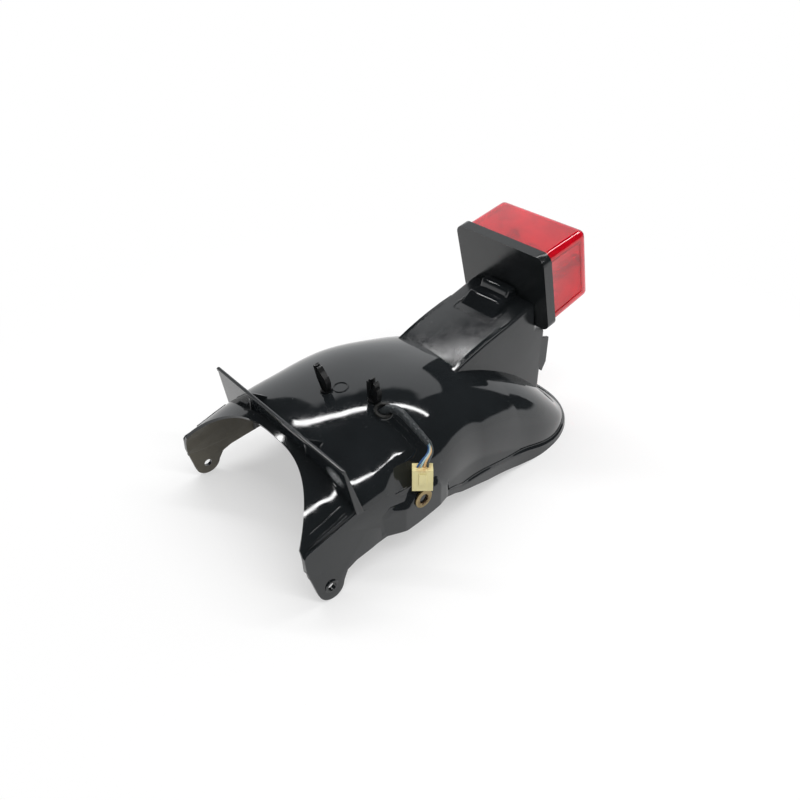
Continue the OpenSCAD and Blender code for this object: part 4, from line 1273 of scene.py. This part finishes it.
@dataclass
class LampTower(Assembly):
    """Hollow lamp tower with its steps, side ribs, beads and rear strips.

    Attributes:
        seat: Where the lamp sits on it.
        foot_y: Front of its foot.
        half: Its half width.
        back: Its rear face.
        slope: Rise of its roof, in degrees.
        top: Height at which the roof meets the lamp base.
        edge: Height of the rear edge under the lamp base.
        back_z: Height of the rear face's top.
        foot_z: Height of its lower end at the back.
        bulge: Rise of the roof over a straight line, as (y, rise).
        bead_rise: Rise of the side beads over the roof.
        step: Outline of the step in front of the lamp, up to the lamp base.
        step_z: Its height at the lamp base, above and below.
        crown: Outline of the block on it.
        crown_z: Its height at the lamp base, above and below.
        rib: Outline of a rib beside it.
        rib_z: Its height at the lamp base, above and below.
        seam: Middle line of the fillet round the step, as (x, y).
        strip: Outline of a strip at the rear.
        foot_highlight: Pale patch at the foot, a painted highlight where the roof mirrors the strip light.
    """

    seat: LampSeat = LampSeat()
    foot_y: float = 190.0
    half: float = 39.6
    back: float = 305.0
    slope: float = 18.5
    top: float = 130.0
    edge: float = 107.4
    back_z: float = 102.5
    foot_z: float = 21.0
    bulge: Outline = ((184.0, 0.0), (197, 1.1), (210, 1.7), (222, 1.8), (238, 1.2), (252, 0.3))
    bead_rise: tuple[float, ...] = (-0.2, 0.2, 0.35, 0.35, 0.2, -0.4)
    step: Outline = ((243, 108), (243.4, 117), (257, 138.2))
    step_z: tuple[float, float] = (138.2, 110)
    crown: Outline = ((267, 112), (269, 137.2), (272, 145.6))
    crown_z: tuple[float, float] = (145.6, 113)
    rib: Outline = ((252, 112), (254, 124.5))
    rib_z: tuple[float, float] = (135, 112)
    seam: Outline = ((-23.5, 256), (-24, 246), (-23, 241.8), (-14, 241.4), (14, 241.4), (23, 241.8), (24, 246),
                     (23.5, 264))
    strip: Outline = ((300, 60), (307, 52), (312, 62), (312, 90), (300, 94))
    # Painted highlight: a pale patch at the foot of the roof, broken up by noise.
    foot_highlight: WearAndLightPatch = WearAndLightPatch((26, 200, 116), (12, 11, 8), 0.22)

    def roof(self, y: float) -> float:
        """Height of the tower's roof without its bulge."""
        crest = float(self.form.crest_z(np.array(self.foot_y)))
        return crest + (y - self.foot_y) * math.tan(math.radians(self.slope))

    def to_lamp(self, outline: Outline, heights: tuple[float, float]) -> list[tuple[float, float]]:
        """Closes an outline along the lamp base."""
        return [*outline, *((self.seat.face(z), z) for z in heights)]

    def build(self) -> None:
        """Builds the tower and what stands on it."""
        crest = [(y, self.roof(y) + rise) for y, rise in self.bulge]
        self.body(crest)
        self.moulding("tower_step", self.to_lamp(self.step, self.step_z),
                      lambda u, v, w: to_frame((w - 18) * (1 + 0.017 * (138.2 - v)), u, v), 36, 2.3, 6)
        self.moulding("tower_crown", self.to_lamp(self.crown, self.crown_z), self.sideways(-17.4), 34.8, 2.2, 6)
        self.moulding("tower_rib", self.to_lamp(self.rib, self.rib_z), self.sideways(17), 11, 1.6, 4, both=True)
        self.finish(self.kit.tube("tower_step_fillet",
                                  [to_frame(x, y, self.roof(y) + 0.55) for x, y in self.seam], 1.0))
        over = [(y, z + rise) for (y, z), rise in zip(crest, self.bead_rise)]
        under = [(y, z - 3.0) for y, z in reversed(crest)]
        self.moulding("tower_bead", [*over, *under], self.sideways(self.half - 5.6), 4.6, 0.7, both=True)
        self.moulding("tower_strip", self.strip, self.sideways(self.half - 3), 3.0, 0.7, both=True)

    def body(self, crest: Outline) -> None:
        """The hollow tower itself, a little duller than the arch, with a painted highlight at its foot.

        Args:
            crest: Points of its roof line.
        """
        wall, slope, half, back = self.form.size.wall, math.tan(math.radians(self.slope)), self.half, self.back
        top_y = self.seat.face(self.top)
        top_z, front = self.roof(top_y), self.foot_y - 20
        side = [(self.foot_y - 6, 40), *crest, (top_y, top_z), (self.seat.face(self.edge), self.edge),
                (back, self.back_z), (back, self.foot_z)]
        body = self.kit.prism("tower", side, self.sideways(-half), 2 * half, 4.2, 6)
        self.kit.bake(body)
        core = [(front, 0), (front, self.roof(front) - wall), (top_y - wall, top_z - wall - wall * slope),
                (self.seat.face(self.edge) - wall, self.edge - wall), (back - wall, self.back_z - wall),
                (back - wall, 0)]
        self.kit.cut(body, self.kit.prism("core", core, self.sideways(wall - half), 2 * (half - wall), 0.0))
        self.finish(body)
        body.data.materials.clear()
        body.data.materials.append(self.palette.get("black_plastic_matt", MATT, [self.foot_highlight]))


@dataclass
class Bosses(Assembly):
    """Rings moulded on the arch: the outlet, the clip seats and the bare ring.

    Attributes:
        rings: Name, profile and place (x, y) of each ring.
    """

    rings: tuple[tuple[str, Outline, tuple[float, float]], ...] = (
        ("outlet_boss", ((6.0, -2.5), (6.0, 1.0), (6.4, 1.4), (8.0, 1.4), (8.5, 0.9), (8.9, -2.5)), (50.5, 94)),
        ("crest_seat", CLIP_SEAT, (0, 74)),
        ("side_seat", CLIP_SEAT, (37, 95)),
        ("ring_mark", ((5.6, -1.5), (5.6, 0.2), (5.9, 0.8), (6.7, 0.8), (7.0, 0.2), (7.0, -1.5)), (5, 85)))

    def build(self) -> None:
        """Builds every ring."""
        for name, profile, (x, y) in self.rings:
            self.finish(self.kit.lathe(name, profile, self.on_roof(x, y)))


@dataclass
class TailLens(Assembly):
    """Red lens: a drafted shell with rounded corners, framed sides, posts and a window gap.

    Attributes:
        seat: Where the lamp sits.
        base: Depth of the lamp base.
        tray: Depth of its tray.
        depth: Depth at the lens's rear face.
        width: Width of the lens.
        height: Its height.
        draft: Draft of its top, in degrees.
        middle: Height of its middle from the top of the lamp base.
        corner: Radius of its corners.
        sheet: Thickness of its wall.
        frame: Width of the frame on its sides.
        window: Outline of the gap for the plate window.
        post_x: Distance of a post from the middle.
        head: Radius and depth of the recess for a screw's head.
    """

    seat: LampSeat = LampSeat()
    base: float = 10.4
    tray: float = 6.2
    depth: float = 62.2
    width: float = 102.6
    height: float = 75.6
    draft: float = 1.3
    middle: float = -81.2 / 2 + 0.15
    corner: float = 6.5
    sheet: float = 2.2
    frame: float = 4.6
    window: Outline = ((-28, 26), (28, 26), (28, 46), (-28, 46))
    post_x: float = 38.0
    head: tuple[float, float] = (4.6, 3.6)

    def build(self) -> None:
        """Builds the lens with its openings and posts."""
        lamp = self.seat.place()
        lens = self.shell(lamp)
        low = self.middle - self.height / 2 - 5
        self.kit.cut(lens, self.kit.prism("cutter", self.window, lambda u, v, t: lamp @ Vector((u, v, low + t)),
                                          12, 0.0))
        turn = lamp @ Matrix.Rotation(math.radians(-90), 4, "X")
        radius, deep = self.head
        depth, tray = self.depth, self.tray + 3.5
        recess = [(0.01, depth - deep), (radius, depth - deep), (radius, depth + 2), (0.01, depth + 2)]
        profile = [(2.4, tray), (2.4, depth - 3.7), (4.7, depth - 3.7), (4.7, depth - 1), (5.9, depth - 1),
                   (5.9, tray)]
        for name, x in (("lens_post_left", -self.post_x), ("lens_post_right", self.post_x)):
            place = turn @ Matrix.Translation((x, -self.middle, 0))
            self.kit.cut(lens, self.kit.lathe("cutter", recess, place, 32))
            self.finish(self.kit.lathe(name, profile, place, 40), Slot.LENS)
        self.finish(lens, Slot.LENS)
        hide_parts("tail_lens")

    def shell(self, lamp: Matrix) -> bpy.types.Object:
        """The lens's shell, open towards the base.

        Args:
            lamp: Matrix from millimetres on the lamp to the frame.

        Returns:
            The shell with its wall.
        """
        bm = bmesh.new()
        bmesh.ops.create_cube(bm, size=1.0)
        front = [f for f in bm.faces if f.normal.y < -0.5]
        bmesh.ops.delete(bm, geom=front, context="FACES_ONLY")
        half_w, half_h = self.width / 2, self.height / 2
        for vert in bm.verts:
            rear = vert.co.y > 0
            pull = (self.depth - self.base) * math.tan(math.radians(self.draft)) + 0.2 if rear else 0.0
            high = half_h - pull if vert.co.z > 0 else -half_h + (1.4 if rear else -0.8)
            vert.co = Vector((math.copysign(half_w + 0.2, vert.co.x), self.depth if rear else self.tray + 2.0,
                              self.middle + high))
        edges = [e for e in bm.edges if not e.is_boundary]
        bmesh.ops.bevel(bm, geom=edges, offset=self.corner, segments=7, profile=0.5, affect="EDGES", material=-1)
        bmesh.ops.recalc_face_normals(bm, faces=bm.faces[:])
        bm.normal_update()
        flats = sorted(bm.faces, key=lambda f: f.calc_area())[-5:]
        sides = [f for f in flats if abs(f.normal.x) > 0.9]
        bmesh.ops.inset_individual(bm, faces=sides, thickness=self.frame, depth=0.0)
        bmesh.ops.inset_individual(bm, faces=sides, thickness=0.5, depth=-0.9)
        for vert in bm.verts:
            vert.co = lamp @ vert.co
        lens = self.kit.new("tail_lens_shell", bm, 30)
        self.kit.bevel(lens, 0.35, 3, 35)
        self.kit.wall(lens, self.sheet)
        self.kit.bake(lens)
        return lens


@dataclass
class DressedNodes(Assembly):
    """The nodes of the solid model that are shown as they are.

    Attributes:
        slots: Material slot of each node.
        rounding: Radius of the edges of some of them.
    """

    slots: dict[str, Slot] = field(default_factory=lambda: NODE_SLOTS)
    rounding: dict[str, float] = field(default_factory=lambda: NODE_ROUNDING)

    def build(self) -> None:
        """Gives each node its finish and rounding."""
        for name, slot in self.slots.items():
            obj = self.nodes[name]
            material = self.material(slot)
            for k in range(max(1, len(obj.material_slots))):
                if k >= len(obj.material_slots):
                    obj.data.materials.append(material)
                obj.material_slots[k].material = material
            if name in self.rounding:
                self.kit.weld(obj)
                self.kit.bevel(obj, self.rounding[name], 3, 32)
            LOG.info("%s: %s", name, slot.value)


@dataclass(frozen=True)
class Strip:
    """A long strip light: its name, middle (x, y), length and width in metres, and power in watts."""

    name: str
    middle: tuple[float, float]
    length: float
    width: float
    power: float


@dataclass
class Studio:
    """Camera, lights and floor.

    Attributes:
        sensor: Width of the camera's sensor, in millimetres.
        lens: Focal length, in millimetres.
        eye: Place of the camera, in millimetres from the ear bolts.
        right: Way to the right in the picture.
        up: Way up in the picture.
        strips: The strip lights.
        ceiling: Height of the strips, in metres.
        turn: Turn of the strips, in degrees.
        dark: Strength of the ceiling where nothing shines.
        rim: Height of the white surround, away from the camera's back and towards it.
        fill: Strength of the even light.
        floor_half: Half width of the floor, in metres.
        fade: Distances over which the floor turns to white, in metres.
        near_white: Share of white on the floor under the object.
    """

    sensor: float = 36.0
    lens: float = 34.2
    eye: Point = (440.38, -214.7, 468.91)
    right: Point = (0.64484, 0.7643, -0.00563)
    up: Point = (-0.43661, 0.3744, 0.81804)
    strips: tuple[Strip, ...] = (Strip("strip_far", (-0.65, 1.0), 3.9, 0.15, 40.0),
                                 Strip("strip_near", (1.55, 0.32), 2.8, 0.13, 27.0))
    ceiling: float = 2.4
    turn: float = 41.0
    dark: float = 0.03
    rim: tuple[float, float] = (0.03, 0.745)
    fill: float = 0.5
    floor_half: float = 9.0
    fade: tuple[float, float] = (0.24, 0.6)
    near_white: float = 0.45

    def camera(self) -> None:
        """The photograph's camera."""
        data = bpy.data.cameras.new("camera")
        data.sensor_width = self.sensor
        data.lens = self.lens
        data.clip_start, data.clip_end = 0.01, 60.0
        cam = self.link("camera", data)
        right = Vector(self.right)
        back = right.cross(Vector(self.up)).normalized()
        up = back.cross(right).normalized()
        turn = Matrix((right, up, back)).transposed().to_4x4()
        cam.matrix_world = Matrix.Translation(to_frame(*self.eye)) @ turn
        bpy.context.scene.camera = cam

    @staticmethod
    def link(name: str, data: bpy.types.ID) -> bpy.types.Object:
        """A new object of the scene.

        Args:
            name: Its name.
            data: What it shows.

        Returns:
            The object.
        """
        obj = bpy.data.objects.new(name, data)
        bpy.context.scene.collection.objects.link(obj)
        return obj

    def lights(self) -> None:
        """The strip lights on the ceiling, laid at the angle that the highlights show."""
        for strip in self.strips:
            data = bpy.data.lights.new(strip.name, "AREA")
            data.shape = "RECTANGLE"
            data.size, data.size_y = strip.length, strip.width
            data.energy = strip.power
            x, y = strip.middle
            place = Matrix.Translation(Vector((x, y - MID_Y * MM, self.ceiling)))
            self.link(strip.name, data).matrix_world = place @ Matrix.Rotation(math.radians(self.turn), 4, "Z")

    def surround(self) -> None:
        """A white surround under a dark ceiling, for what the gloss mirrors, and an even light."""
        world = bpy.data.worlds.new("studio")
        bpy.context.scene.world = world
        world.use_nodes = True
        tree = world.node_tree
        tree.nodes.clear()
        way = add(tree, "ShaderNodeTexCoord").outputs["Generated"]
        flat = add(tree, "ShaderNodeVectorMath", {0: way, 1: (1, 1, 0)}, operation="MULTIPLY").outputs[0]
        unit = add(tree, "ShaderNodeVectorMath", {0: flat}, operation="NORMALIZE").outputs[0]
        toward = add(tree, "ShaderNodeVectorMath", {0: unit, 1: (-0.707, 0.707, 0)},
                     operation="DOT_PRODUCT").outputs["Value"]
        rim = add(tree, "ShaderNodeMapRange", {"Value": toward, "From Min": 0.6, "From Max": 0.8, "To Min": self.rim[0],
                                               "To Max": self.rim[1]}, clamp=True).outputs["Result"]
        clutter = add(tree, "ShaderNodeTexNoise", {"Vector": way, "Scale": 5.0, "Detail": 2.0}).outputs["Fac"]
        uneven = add(tree, "ShaderNodeMapRange", {"Value": clutter, "To Min": -0.045, "To Max": 0.045}).outputs[0]
        height = add(tree, "ShaderNodeSeparateXYZ", {0: way}).outputs["Z"]
        over = add(tree, "ShaderNodeMath", {0: height, 1: rim}, operation="SUBTRACT").outputs[0]
        over = add(tree, "ShaderNodeMath", {0: over, 1: uneven}, operation="ADD").outputs[0]
        ceiling = add(tree, "ShaderNodeMapRange", {"Value": over, "From Min": -0.02, "From Max": 0.02,
                                                   "To Min": 1.0, "To Max": self.dark}, clamp=True,
                      interpolation_type="SMOOTHSTEP").outputs["Result"]
        path = add(tree, "ShaderNodeLightPath")
        seen = add(tree, "ShaderNodeBackground", {"Color": (1, 1, 1, 1), "Strength": 1.0})
        mirror = add(tree, "ShaderNodeBackground", {"Color": (0.97, 0.985, 1, 1), "Strength": ceiling})
        shader = add(tree, "ShaderNodeBackground", {"Color": (1, 1, 1, 1), "Strength": self.fill})
        for ray, other in (("Is Glossy Ray", mirror), ("Is Transmission Ray", seen), ("Is Camera Ray", seen)):
            shader = add(tree, "ShaderNodeMixShader", {0: path.outputs[ray], 1: shader.outputs[0],
                                                       2: other.outputs[0]})
        add(tree, "ShaderNodeOutputWorld", {"Surface": shader.outputs[0]})

    def floor(self) -> None:
        """A large pale paper floor that keeps the shadow and turns to white farther out."""
        bm = bmesh.new()
        bmesh.ops.create_grid(bm, x_segments=8, y_segments=8, size=self.floor_half)
        mesh = bpy.data.meshes.new("floor")
        bm.to_mesh(mesh)
        bm.free()
        floor = self.link("floor", mesh)
        mat = bpy.data.materials.new("floor_paper")
        mat.use_nodes = True
        tree = mat.node_tree
        tree.nodes.clear()
        path = add(tree, "ShaderNodeLightPath")
        at = add(tree, "ShaderNodeTexCoord").outputs["Object"]
        speckle = add(tree, "ShaderNodeTexNoise", {"Vector": at, "Scale": 400.0, "Detail": 3.0})
        paper = add(tree, "ShaderNodeMapRange", {"Value": speckle.outputs["Fac"], "To Min": 0.95, "To Max": 0.98})
        tint = add(tree, "ShaderNodeCombineColor", {k: paper.outputs[0] for k in range(3)})
        matt = add(tree, "ShaderNodeBsdfDiffuse", {"Color": tint.outputs[0]})
        white = add(tree, "ShaderNodeEmission", {"Color": (1, 1, 1, 1), "Strength": 1.0})
        away = add(tree, "ShaderNodeVectorMath", {0: at}, operation="LENGTH").outputs["Value"]
        far = add(tree, "ShaderNodeMapRange", {"Value": away, "From Min": self.fade[0], "From Max": self.fade[1],
                                               "To Min": self.near_white, "To Max": 1.0}, clamp=True,
                  interpolation_type="SMOOTHSTEP").outputs["Result"]
        seen = path.outputs["Is Camera Ray"]
        for ray in ("Is Glossy Ray", "Is Transmission Ray"):
            seen = add(tree, "ShaderNodeMath", {0: seen, 1: path.outputs[ray]}, operation="MAXIMUM").outputs[0]
        share = add(tree, "ShaderNodeMath", {0: seen, 1: far}, operation="MULTIPLY").outputs[0]
        both = add(tree, "ShaderNodeMixShader", {0: share, 1: matt.outputs[0], 2: white.outputs[0]})
        add(tree, "ShaderNodeOutputMaterial", {"Surface": both.outputs[0]})
        mesh.materials.append(mat)

    def build(self) -> None:
        """Sets the whole stage."""
        self.camera()
        self.lights()
        self.surround()
        self.floor()
        bpy.context.scene.view_settings.view_transform = "Standard"


def main() -> None:
    """Builds the stage and then every sub-assembly."""
    logging.basicConfig(level=logging.INFO)
    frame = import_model()
    Studio().build()
    shared = {"nodes": frame["nodes"], "kit": MeshKit(), "palette": Palette(), "form": ArchForm(ArchSize())}
    for part in (Harness, Arch, Ears, SidePads, SplashPlate, LampTower, Bosses, TailLens, DressedNodes):
        part(**shared).build()
    bpy.context.view_layer.update()


if __name__ == "__main__":
    main()
